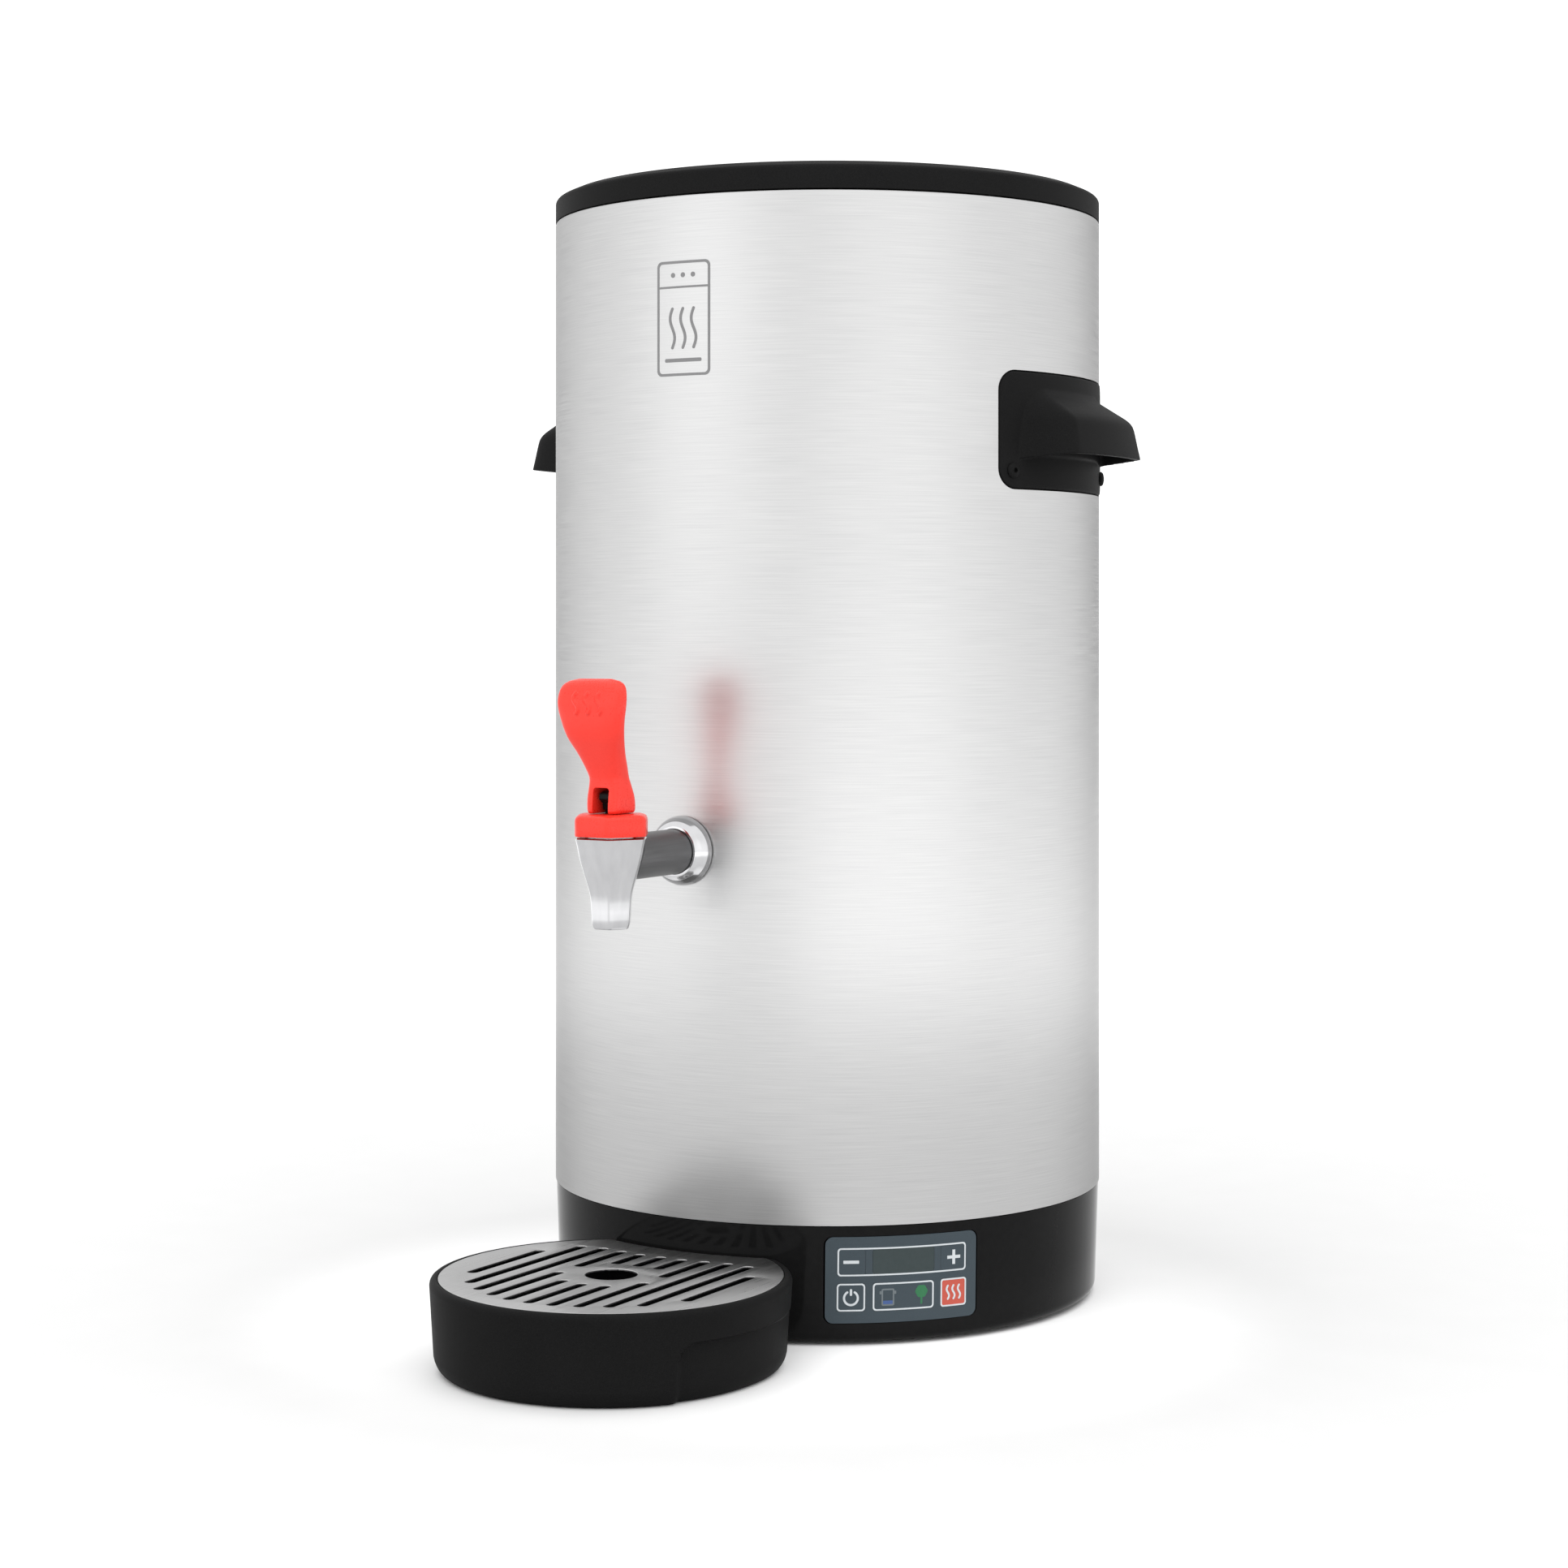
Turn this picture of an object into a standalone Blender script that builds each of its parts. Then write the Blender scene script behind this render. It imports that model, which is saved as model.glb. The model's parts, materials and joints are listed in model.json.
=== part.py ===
"""Countertop hot-water dispenser, about 600 mm tall, built as an assembly of separate pieces.

Metres, +Z up, the front (tap and drip tray) faces -Y. Every piece is modelled around the body's
own vertical axis, then the whole is shifted so that the origin is under the middle of the
footprint, on the counter. An angle called beta is measured from the front towards +X.
"""

import math

import bmesh
import bpy
from mathutils import Matrix, Vector

# ---- driving dimensions ------------------------------------------------------------------
GAP = 0.0003              # between pieces that touch
ROUND = 48                # facets of the large round pieces
FACET_SHIFT = 0.03        # turns a cutter so that its facets miss those it cuts
HIDDEN_ROUND = 32         # facets of those inside
SMALL_ROUND = 14          # facets of the small ones
QUARTER = math.pi / 2

BODY_R = 0.150            # steel jacket, outside
JACKET_WALL = 0.001
JACKET_TOP = 0.5852
TOTAL_HEIGHT = 0.6007

BASE_TOP = 0.0610
BASE_BOTTOM = 0.0015
BASE_TOP_R = 0.1495
BASE_FOOT_R = 0.1478      # the base tapers to this radius above its rounded bottom edge
BASE_ROUND_Z = 0.0075
BASE_INNER_R = 0.1450
DECK_Z = 0.0580           # underside of the deck that carries the tank and jacket
DECK_HOLE_R = 0.1000

TANK_R = 0.1320
TANK_WALL = 0.0012
TANK_FLOOR = 0.2136       # underside
TANK_TOP = 0.5790
STAND_R = 0.1280
SLEEVE_R = 0.1398
ELEMENT_R = 0.0750        # ring of the immersion heater
ELEMENT_LEG_X = 0.0180
PROBE_AT = (0.055, -0.085)        # (x, y) in the tank's floor
LEVEL_AT = (-0.089, 0.058)
HOSE_Y = 0.0880
LID_TOP_R = 0.1428
PLUG_R = 0.1300
LID_REST = 0.0005         # the lid's rim stands this far above the jacket's hem
FLANGE_R = 0.1478         # the tank's rim reaches out to this radius

SPOUT = 0.2160            # tap and drip-tray axis, ahead of the body's axis
SHANK_Z = 0.2496
SHANK_R = 0.0115
THREAD_R = 0.0100
BORE_R = 0.0060
SHANK_FRONT = 0.1984
SHANK_SHOULDER = 0.1504
SHANK_BACK = 0.1185
PIN_Z = 0.2790
PIN_R = 0.0015
BONNET_TOP = 0.2720
BONNET_BOTTOM = 0.2612
STEM_R = 0.0030

HANDLE_BOTTOM = 0.4357
HANDLE_TOP = 0.4961
HANDLE_HALF = 0.0618      # half width, measured straight across
HANDLE_CORNER = 0.0100
PLATE_OUT_R = 0.1506
PLATE_IN_R = 0.1460
FLANGE_OUT_R = 0.1486
FLANGE_LIP = 0.0035
HOOD_PROFILE = [          # height, and how far the grip stands out of its plate there
    (0.4534, 0.0253), (0.4600, 0.0239), (0.4660, 0.0227), (0.4695, 0.0219), (0.4715, 0.0211),
    (0.4732, 0.0198), (0.4750, 0.0177), (0.4780, 0.0130), (0.4810, 0.0083), (0.4832, 0.0048),
    (0.4850, 0.0023), (0.4890, -0.0008)]
HOOD_RIM = HOOD_PROFILE[0][0]
HOOD_SHOULDER = math.radians(12.5)    # either side of the grip's middle, it starts to fall back
HOOD_END = math.radians(20.5)         # and has reached the plate here
HOOD_NARROWING = math.radians(2.0)    # how much sooner at the top
HOOD_DROP = 0.0026                    # how far the rim comes down at its ends
HOOD_WALL = 0.0032
SCREW_BETA = math.radians(21.0)
SCREW_Z = 0.4447

PANEL_BETA = math.radians(44.65)
PANEL_HALF = 0.0404
PANEL_BOTTOM = 0.0118
PANEL_TOP = 0.0557
PANEL_IN_R = 0.1453
KEY_BETA = math.radians(10.5)     # the keys' columns, either side of the panel's middle
KEY_HALF = 0.0073
LOWER_ROW = (0.0178, 0.0321)
UPPER_ROW = (0.0366, 0.0493)
WINDOW_HALF = 0.0162

TRAY_R = 0.0893
TRAY_TOP = 0.0450
TRAY_REAR_R = 0.1512      # the tray's rear face is concentric with the body
GRID_R = 0.0850
GRID_REAR_R = 0.1524
GRID_BOTTOM = 0.0438
GRID_HOLE_R = 0.0130
SLOT_PITCH = 0.0125
SLOT_HALF = 0.0029

INLET_Z = 0.0300
INLET_REACH = 0.1660      # end of the water fitting, behind the body's axis
GLAND_BETA = math.radians(160.0)
FOOT_CIRCLE_R = 0.1050
PLATE_SCREW_R = 0.1350
PLATE_SCREW_BETA = math.radians(20.0)
BOTTOM_PLATE = (0.0032, 0.0042)

BODY_Y = (SPOUT + TRAY_R - INLET_REACH) / 2     # puts the origin under the footprint's middle

# ---- finishes: colour, roughness, metallic -------------------------------------------------
STEEL = ((0.80, 0.80, 0.80), 0.30, 1.0)
DARK_STEEL = ((0.17, 0.17, 0.17), 0.35, 1.0)
CHROME = ((0.85, 0.85, 0.86), 0.12, 1.0)
BRASS = ((0.72, 0.55, 0.25), 0.30, 1.0)
ZINC = ((0.62, 0.64, 0.66), 0.45, 1.0)
GLOSS_BLACK = ((0.010, 0.010, 0.010), 0.12, 0.0)
MATTE_BLACK = ((0.018, 0.018, 0.018), 0.62, 0.0)
RED = ((0.90, 0.055, 0.035), 0.35, 0.0)
SLATE = ((0.075, 0.095, 0.115), 0.40, 0.0)
KEY_RED = ((0.70, 0.12, 0.08), 0.40, 0.0)
DARK_WINDOW = ((0.055, 0.070, 0.070), 0.20, 0.0)
RUBBER = ((0.03, 0.03, 0.03), 0.85, 0.0)
SILICONE = ((0.75, 0.74, 0.70), 0.60, 0.0)
FOAM = ((0.55, 0.53, 0.48), 0.95, 0.0)
BOARD_GREEN = ((0.03, 0.16, 0.07), 0.50, 0.0)


# ---- helpers --------------------------------------------------------------------------------
def new_collection(name):
    collection = bpy.data.collections.new(name)
    bpy.context.scene.collection.children.link(collection)
    return collection


def heading(beta):
    """Horizontal direction at an angle from the front."""
    return Vector((math.sin(beta), -math.cos(beta), 0.0))


def aim(obj, beta, reach, z):
    """Point an object's +Z outwards along a heading, its +Y up, at a distance from the axis."""
    obj.rotation_euler = (QUARTER, 0.0, beta)
    obj.location = heading(beta) * reach + Vector((0.0, 0.0, z))


def circle(radius, count, centre=(0.0, 0.0)):
    points = []
    for i in range(count):
        angle = 2 * math.pi * i / count
        points.append((centre[0] + radius * math.cos(angle), centre[1] + radius * math.sin(angle)))
    return points


def fillet(corners, steps=4):
    """Round a polygon: corners are (x, y, radius), and a radius of 0 keeps the corner sharp."""
    points = []
    for i, (x, y, radius) in enumerate(corners):
        here = Vector((x, y))
        if radius == 0:
            points.append((x, y))
            continue
        before = (Vector(corners[i - 1][:2]) - here).normalized()
        after = (Vector(corners[(i + 1) % len(corners)][:2]) - here).normalized()
        half = before.angle(after) / 2
        centre = here + (before + after).normalized() * (radius / math.sin(half))
        start = here + before * (radius / math.tan(half)) - centre
        end = here + after * (radius / math.tan(half)) - centre
        turn = math.atan2(start.x * end.y - start.y * end.x, start.dot(end))
        for step in range(steps + 1):
            spoke = Matrix.Rotation(turn * step / steps, 2) @ start
            points.append(tuple(centre + spoke))
    return points


def rounded_box_outline(half_x, low_y, high_y, radius, steps=4):
    return fillet([(-half_x, low_y, radius), (half_x, low_y, radius),
                   (half_x, high_y, radius), (-half_x, high_y, radius)], steps)


def finish(obj, look):
    colour, roughness, metallic = look
    material = bpy.data.materials.new(obj.name)
    material.use_nodes = True
    shader = material.node_tree.nodes["Principled BSDF"]
    shader.inputs["Base Color"].default_value = (*colour, 1.0)
    shader.inputs["Roughness"].default_value = roughness
    shader.inputs["Metallic"].default_value = metallic
    obj.data.materials.clear()
    obj.data.materials.append(material)


def place(name, data, look):
    """Make an object in the dispenser's collection, or among the cutters if it has no look."""
    obj = bpy.data.objects.new(name, data)
    if look:
        DISPENSER.objects.link(obj)
        finish(obj, look)
    else:
        CUTTERS.objects.link(obj)
        obj.hide_render = True
        obj.display_type = "WIRE"
    obj.parent = ORIGIN
    return obj


def turned(name, profile, look=None, steps=ROUND, ring=False):
    """Turn a profile of (radius, z) about Z. A ring's profile closes on itself."""
    mesh = bpy.data.meshes.new(name)
    edges = [(i, i + 1) for i in range(len(profile) - 1)]
    if ring:
        edges.append((len(profile) - 1, 0))
    mesh.from_pydata([(r, 0.0, z) for r, z in profile], edges, [])
    obj = place(name, mesh, look)
    screw = obj.modifiers.new("turn", "SCREW")
    screw.axis = "Z"
    screw.angle = 2 * math.pi
    screw.steps = steps
    screw.render_steps = steps
    screw.use_merge_vertices = True
    screw.merge_threshold = 0.00001
    screw.use_smooth_shade = steps > 8
    return obj


def mesh_from_curve(name, curve, look):
    """Turn a curve into a closed mesh object, its loose caps welded."""
    source = bpy.data.objects.new(name + "_curve", curve)
    CUTTERS.objects.link(source)
    bpy.context.view_layer.update()
    evaluated = source.evaluated_get(bpy.context.evaluated_depsgraph_get())
    mesh = bpy.data.meshes.new_from_object(evaluated)
    bpy.data.objects.remove(source)
    shape = bmesh.new()
    shape.from_mesh(mesh)
    bmesh.ops.remove_doubles(shape, verts=shape.verts, dist=0.000001)
    shape.to_mesh(mesh)
    shape.free()
    return place(name, mesh, look)


def prism(name, outlines, thickness, look=None):
    """Extrude flat outlines by a thickness, half to each side. Inner outlines are holes."""
    curve = bpy.data.curves.new(name, "CURVE")
    curve.dimensions = "2D"
    curve.fill_mode = "BOTH"
    curve.extrude = thickness / 2
    for points in outlines:
        spline = curve.splines.new("POLY")
        spline.points.add(len(points) - 1)
        for point, (x, y) in zip(spline.points, points):
            point.co = (x, y, 0.0, 1.0)
        spline.use_cyclic_u = True
    return mesh_from_curve(name, curve, look)


def tube(name, points, radius, look, resolution=2):
    """A round wire, rod or hose along a line of points."""
    curve = bpy.data.curves.new(name, "CURVE")
    curve.dimensions = "3D"
    curve.bevel_depth = radius
    curve.bevel_resolution = resolution
    curve.use_fill_caps = True
    spline = curve.splines.new("POLY")
    spline.points.add(len(points) - 1)
    for point, co in zip(spline.points, points):
        point.co = (*co, 1.0)
    return mesh_from_curve(name, curve, look)


def rod(name, radius, low, high, look=None, steps=SMALL_ROUND):
    """A plain cylinder along Z."""
    return turned(name, [(0.0, high), (radius, high), (radius, low), (0.0, low)], look, steps)


def block(name, size, centre, look=None):
    mesh = bpy.data.meshes.new(name)
    shape = bmesh.new()
    bmesh.ops.create_cube(shape, size=1.0)
    bmesh.ops.scale(shape, vec=size, verts=shape.verts)
    shape.to_mesh(mesh)
    shape.free()
    obj = place(name, mesh, look)
    obj.location = centre
    return obj


def combine(obj, other, operation):
    modifier = obj.modifiers.new(other.name, "BOOLEAN")
    modifier.operation = operation
    modifier.object = other


def cut(obj, *others):
    for other in others:
        combine(obj, other, "DIFFERENCE")


def unite(obj, *others):
    for other in others:
        combine(obj, other, "UNION")


def keep_within(obj, other):
    combine(obj, other, "INTERSECT")


def bake(obj):
    """Apply an object's modifiers, so that its mesh can be shared, and drop its cutters."""
    bpy.context.view_layer.update()
    evaluated = obj.evaluated_get(bpy.context.evaluated_depsgraph_get())
    mesh = bpy.data.meshes.new_from_object(evaluated)
    used = [modifier.object for modifier in obj.modifiers if modifier.type == "BOOLEAN"]
    obj.modifiers.clear()
    obj.data = mesh
    for cutter in used:
        nested = [m.object for m in cutter.modifiers if m.type == "BOOLEAN"]
        for helper in nested + [cutter]:
            bpy.data.objects.remove(helper)


# ---- outer casing ---------------------------------------------------------------------------
def handle_window(beta):
    """Opening in the jacket for a handle's plate."""
    margin = 0.0007
    outline = rounded_box_outline(HANDLE_HALF + margin, HANDLE_BOTTOM - margin,
                                  HANDLE_TOP + margin, HANDLE_CORNER + margin)
    window = prism("handle_window", [outline], 0.08)
    aim(window, beta, BODY_R, 0.0)
    return window


def shank_hole(radius):
    hole = rod("shank_hole", radius, 0.100, 0.170)
    aim(hole, 0.0, 0.0, SHANK_Z)
    return hole


def make_jacket():
    inner = BODY_R - JACKET_WALL
    hem = JACKET_TOP - JACKET_WALL
    bottom = BASE_TOP + GAP
    jacket = turned("outer_jacket", [(BODY_R, JACKET_TOP), (BODY_R, bottom), (inner, bottom),
                                     (inner, hem), (0.146, hem), (0.146, JACKET_TOP)],
                    STEEL, ring=True)
    cut(jacket, handle_window(QUARTER), handle_window(-QUARTER), shank_hole(THREAD_R + 0.0006))


def base_radius(z):
    """Outside radius of the base on its tapered side."""
    rise = (z - BASE_ROUND_Z) / (BASE_TOP - BASE_ROUND_Z)
    return BASE_FOOT_R + (BASE_TOP_R - BASE_FOOT_R) * rise


def make_base_housing():
    edge = []
    for step in range(4):
        angle = QUARTER * step / 3
        edge.append((BASE_FOOT_R - 0.0058 * (1 - math.cos(angle)),
                     BASE_ROUND_Z - (BASE_ROUND_Z - BASE_BOTTOM) * math.sin(angle)))
    lip = BODY_R - JACKET_WALL - 2 * GAP
    housing = turned("base_housing", [
        (lip, 0.0660), (lip, BASE_TOP), (BASE_TOP_R, BASE_TOP), *edge,
        (0.1390, BASE_BOTTOM), (0.1390, 0.0045), (0.1310, 0.0045), (0.1310, BASE_ROUND_Z),
        (BASE_INNER_R, BASE_ROUND_Z), (BASE_INNER_R, DECK_Z), (DECK_HOLE_R, DECK_Z),
        (DECK_HOLE_R, BASE_TOP), (0.1462, BASE_TOP), (0.1462, 0.0660)],
        GLOSS_BLACK, ring=True)
    outline = rounded_box_outline(PANEL_HALF + GAP, PANEL_BOTTOM - GAP, PANEL_TOP + GAP, 0.0045)
    window = prism("panel_window", [outline], 0.03)
    aim(window, PANEL_BETA, BODY_R, 0.0)
    inlet = rod("inlet_hole", 0.0128, 0.130, 0.160, steps=24)
    aim(inlet, math.pi, 0.0, INLET_Z)
    gland = rod("gland_hole", 0.0082, 0.130, 0.160, steps=24)
    aim(gland, GLAND_BETA, 0.0, INLET_Z)
    cut(housing, window, inlet, gland)
    for i in range(4):
        hole = rod(f"ledge_hole_{i + 1}", 0.0018, 0.0040, 0.0080, steps=12)
        hole.location = heading(QUARTER * i + PLATE_SCREW_BETA) * PLATE_SCREW_R
        cut(housing, hole)


def make_bottom_plate():
    low, high = BOTTOM_PLATE
    holes = []
    for i in range(4):
        screw = heading(QUARTER * i + PLATE_SCREW_BETA) * PLATE_SCREW_R
        foot = heading(QUARTER * (i + 0.5)) * FOOT_CIRCLE_R
        holes.append(circle(0.0018, 12, screw.xy))
        holes.append(circle(0.0045, 16, foot.xy))
    plate = prism("bottom_plate", [circle(0.1386, ROUND), *holes], high - low, ZINC)
    plate.location.z = (low + high) / 2


def make_feet_and_base_screws():
    low, high = BOTTOM_PLATE
    for i in range(4):
        foot = turned(f"foot_{i + 1}", [
            (0.0, 0.0075), (0.0050, 0.0075), (0.0055, 0.0068), (0.0055, high + GAP),
            (0.0040, high + GAP), (0.0040, low - GAP), (0.0120, low - GAP), (0.0120, 0.0006),
            (0.0114, 0.0), (0.0, 0.0)], RUBBER, SMALL_ROUND)
        foot.location = heading(QUARTER * (i + 0.5)) * FOOT_CIRCLE_R
        screw = turned(f"base_screw_{i + 1}", [
            (0.0, 0.0070), (0.0012, 0.0070), (0.0015, 0.0066), (0.0015, low - GAP),
            (0.0032, low - GAP), (0.0030, 0.0019), (0.0022, 0.0016), (0.0, 0.0016)], ZINC, 12)
        screw.location = heading(QUARTER * i + PLATE_SCREW_BETA) * PLATE_SCREW_R


# ---- tank and what holds it -------------------------------------------------------------------
def make_tank_stand():
    wall = 0.0012
    low = BASE_TOP + GAP
    high = TANK_FLOOR - GAP
    stand = turned("tank_stand", [
        (STAND_R, high), (STAND_R, low + wall), (0.1360, low + wall), (0.1360, low),
        (STAND_R - wall, low), (STAND_R - wall, high - wall), (0.1180, high - wall),
        (0.1180, high)], ZINC, HIDDEN_ROUND, ring=True)
    for i in range(3):
        beta = math.pi / 3 + 2 * math.pi / 3 * i
        window = prism(f"stand_window_{i + 1}",
                       [rounded_box_outline(0.040, 0.095, 0.175, 0.012)], 0.04)
        aim(window, beta, STAND_R, 0.0)
        cut(stand, window)


def make_tank():
    outer_bend = fillet([(TANK_R, TANK_TOP, 0.0), (TANK_R, TANK_FLOOR, 0.0060),
                         (0.0, TANK_FLOOR, 0.0)], 2)[1:-1]
    inner = TANK_R - TANK_WALL
    floor = TANK_FLOOR + TANK_WALL
    inner_bend = fillet([(0.0, floor, 0.0), (inner, floor, 0.0048), (inner, TANK_TOP, 0.0)], 2)[1:-1]
    tank = turned("inner_tank", [
        (0.0, floor), *inner_bend, (inner, TANK_TOP), (FLANGE_R, TANK_TOP),
        (FLANGE_R, TANK_TOP - TANK_WALL), (TANK_R, TANK_TOP - TANK_WALL), *outer_bend,
        (0.0, TANK_FLOOR)], STEEL, HIDDEN_ROUND)
    cut(tank, shank_hole(THREAD_R + 0.0006))
    holes = [(ELEMENT_LEG_X, -ELEMENT_R, 0.0045), (-ELEMENT_LEG_X, -ELEMENT_R, 0.0045),
             (*PROBE_AT, 0.0034), (*LEVEL_AT, 0.0034), (0.0, HOSE_Y, 0.0040)]
    for i, (x, y, radius) in enumerate(holes):
        hole = rod(f"floor_hole_{i + 1}", radius, TANK_FLOOR - 0.005, TANK_FLOOR + 0.005, steps=16)
        hole.location.x = x
        hole.location.y = y
        cut(tank, hole)


def make_insulation():
    inner = TANK_R + 0.0004
    sleeve = turned("insulation_sleeve", [(SLEEVE_R, 0.5770), (SLEEVE_R, 0.2200),
                                          (inner, 0.2200), (inner, 0.5770)], FOAM, HIDDEN_ROUND,
                    ring=True)
    cut(sleeve, shank_hole(0.0125))


def make_rim_ring():
    low = TANK_TOP + GAP
    high = JACKET_TOP - JACKET_WALL - GAP
    turned("rim_ring", [(0.1484, high), (0.1484, low), (0.1314, low), (0.1314, high)],
           MATTE_BLACK, ring=True)


def make_heating_element():
    """A ring of sheathed heater low in the tank, its two legs going down through the floor."""
    ring_z = TANK_FLOOR + 0.0180
    start = math.asin(ELEMENT_LEG_X / ELEMENT_R)
    depth = -ELEMENT_R * math.cos(start)
    points = []
    count = 30
    bend = 0.0100
    for i in range(count + 1):
        beta = start + 0.14 + (2 * math.pi - 2 * start - 0.28) * i / count
        points.append((*(heading(beta) * ELEMENT_R).xy, ring_z))
    legs = []
    for side in (1.0, -1.0):
        x = side * ELEMENT_LEG_X
        legs.append([(x, -ELEMENT_R, TANK_FLOOR - 0.0150), (x, -ELEMENT_R, ring_z - bend),
                     (x * 1.06, (depth - ELEMENT_R) / 2, ring_z - bend * 0.3)])
    path = legs[0] + points + legs[1][::-1]
    tube("heating_element", path, 0.0040, DARK_STEEL)
    hexagon = circle(0.0085, 6)
    for i, side in enumerate((1.0, -1.0)):
        nut = prism(f"element_nut_{i + 1}", [hexagon, circle(0.0045, 16)], 0.0060, BRASS)
        nut.location = (side * ELEMENT_LEG_X, -ELEMENT_R, TANK_FLOOR - GAP - 0.0030)


def make_probes():
    low = TANK_FLOOR - GAP
    probe = turned("temperature_probe", [
        (0.0, 0.2700), (0.0022, 0.2694), (0.0030, 0.2680), (0.0030, low), (0.0070, low),
        (0.0070, low - 0.0050), (0.0035, low - 0.0050), (0.0035, low - 0.0120),
        (0.0, low - 0.0120)], STEEL, 16)
    probe.location = (*PROBE_AT, 0.0)
    level = turned("level_probe", [
        (0.0, 0.5500), (0.0042, 0.5500), (0.0042, 0.5380), (0.0030, 0.5370), (0.0030, low),
        (0.0070, low), (0.0070, low - 0.0050), (0.0035, low - 0.0050), (0.0035, low - 0.0120),
        (0.0, low - 0.0120)], STEEL, 16)
    level.location = (*LEVEL_AT, 0.0)
    turned("boil_dry_cutout", [
        (0.0, low), (0.0120, low), (0.0120, low - 0.0040), (0.0090, low - 0.0040),
        (0.0090, low - 0.0110), (0.0, low - 0.0110)], GLOSS_BLACK, SMALL_ROUND)


# ---- lid ------------------------------------------------------------------------------------
def make_lid():
    rest = JACKET_TOP + LID_REST
    top = TOTAL_HEIGHT
    crown = fillet([(0.0, top, 0.0), (LID_TOP_R, top, 0.0060), (BODY_R, top - 0.0031, 0.0030),
                    (BODY_R, rest, 0.0)], 2)[:-1]
    turned("lid", [
        *crown, (BODY_R, rest), (0.1470, rest), (0.1470, 0.5965), (PLUG_R, 0.5965),
        (PLUG_R, 0.5778), (0.1285, 0.5778), (0.1285, 0.5742), (PLUG_R, 0.5742),
        (PLUG_R, 0.5730), (0.1275, 0.5730), (0.1275, 0.5975), (0.0, 0.5975)], MATTE_BLACK)
    turned("lid_seal", [(0.1304, 0.5775), (0.1304, 0.5745), (0.1294, 0.5745), (0.1294, 0.5775)],
           SILICONE, HIDDEN_ROUND, ring=True)
    turned("lid_liner", [(0.0, 0.5743), (0.1262, 0.5743), (0.1262, 0.5800), (0.1270, 0.5800),
                         (0.1270, 0.5735), (0.0, 0.5735)], STEEL, HIDDEN_ROUND)
    turned("lid_insulation", [(0.0, 0.5970), (0.1255, 0.5970), (0.1255, 0.5747),
                              (0.0, 0.5747)], FOAM, HIDDEN_ROUND)


# ---- carrying handles -----------------------------------------------------------------------
def curved_plate(name, outer, inner, half, low, high, corner):
    """A rounded rectangle of the body's curved wall, on the +X side, with an outside radius."""
    plate = turned(name, [(outer, high + 0.01), (outer, low - 0.01), (inner, low - 0.01),
                          (inner, high + 0.01)], ring=True)
    limit = prism(name + "_limit", [rounded_box_outline(half, low, high, corner)], 0.08)
    aim(limit, QUARTER, BODY_R, 0.0)
    keep_within(plate, limit)
    return plate


def sheet_solid(name, rows):
    """A solid from rows of points, each row there and back again along a curved sheet."""
    shape = bmesh.new()
    loops = []
    for row in rows:
        loops.append([shape.verts.new(co) for co in row])
    count = len(rows[0])
    for lower, upper in zip(loops, loops[1:]):
        for i in range(count):
            j = (i + 1) % count
            shape.faces.new((lower[i], lower[j], upper[j], upper[i]))
    for i in range(count // 2 - 1):
        across = count - 1 - i
        shape.faces.new((loops[0][i + 1], loops[0][i], loops[0][across], loops[0][across - 1]))
        shape.faces.new((loops[-1][i], loops[-1][i + 1], loops[-1][across - 1],
                         loops[-1][across]))
    bmesh.ops.recalc_face_normals(shape, faces=shape.faces)
    mesh = bpy.data.meshes.new(name)
    shape.to_mesh(mesh)
    shape.free()
    return place(name, mesh, None)


def hood_share(turn, z):
    """How much of the grip's reach is left at an angle from its middle."""
    rise = (z - HOOD_RIM) / (HOOD_PROFILE[-1][0] - HOOD_RIM)
    end = HOOD_END - HOOD_NARROWING * rise
    shoulder = HOOD_SHOULDER - HOOD_NARROWING * rise / 2
    part = min(1.0, max(0.0, (abs(turn) - shoulder) / (end - shoulder)))
    return 1.0 - part * part * (3 - 2 * part)


def hood_radius(turn, z, out):
    """Distance from the body's axis to the grip's outside; its ends are sunk in the plate."""
    root = 0.0010
    return PLATE_OUT_R - root + (out + root) * hood_share(turn, z)


def hood_row(z, out, inset, inner_r, thinnest):
    """Points along the grip's outside at a height and back along an inner radius."""
    steps = 20
    end = HOOD_END
    while hood_radius(end, z, out) - inset < inner_r + thinnest:
        end -= math.radians(0.1)
    there = []
    back = []
    for i in range(steps + 1):
        turn = end * (2 * i / steps - 1)
        level = z - HOOD_DROP * (1 - hood_share(turn, z))
        direction = heading(QUARTER + turn)
        there.append((*(direction * (hood_radius(turn, z, out) - inset)).xy, level))
        back.append((*(direction * inner_r).xy, level))
    return there + back[::-1]


def make_hood():
    """The grip: a hood that is swept out of the plate and slopes back to it at the top."""
    return sheet_solid("hood", [hood_row(z, out, 0.0, 0.1482, 0.0) for z, out in HOOD_PROFILE])


def make_finger_space():
    """The hollow under the grip, open at the bottom, one wall thickness within it."""
    rows = []
    for z, out in HOOD_PROFILE:
        if out > 2 * HOOD_WALL:
            row = hood_row(z, out, HOOD_WALL, PLATE_OUT_R + 0.0006, 0.0020)
            rows.append([(x, y, level - 0.0015) for x, y, level in row])
    below = [(x, y, HOOD_RIM - 0.0300) for x, y, _ in rows[0]]
    return sheet_solid("finger_space", [below, *rows])


def screw_axis_hole(name, beta, radius):
    hole = rod(name, radius, 0.140, 0.156, steps=12)
    aim(hole, beta, 0.0, SCREW_Z)
    return hole


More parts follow.
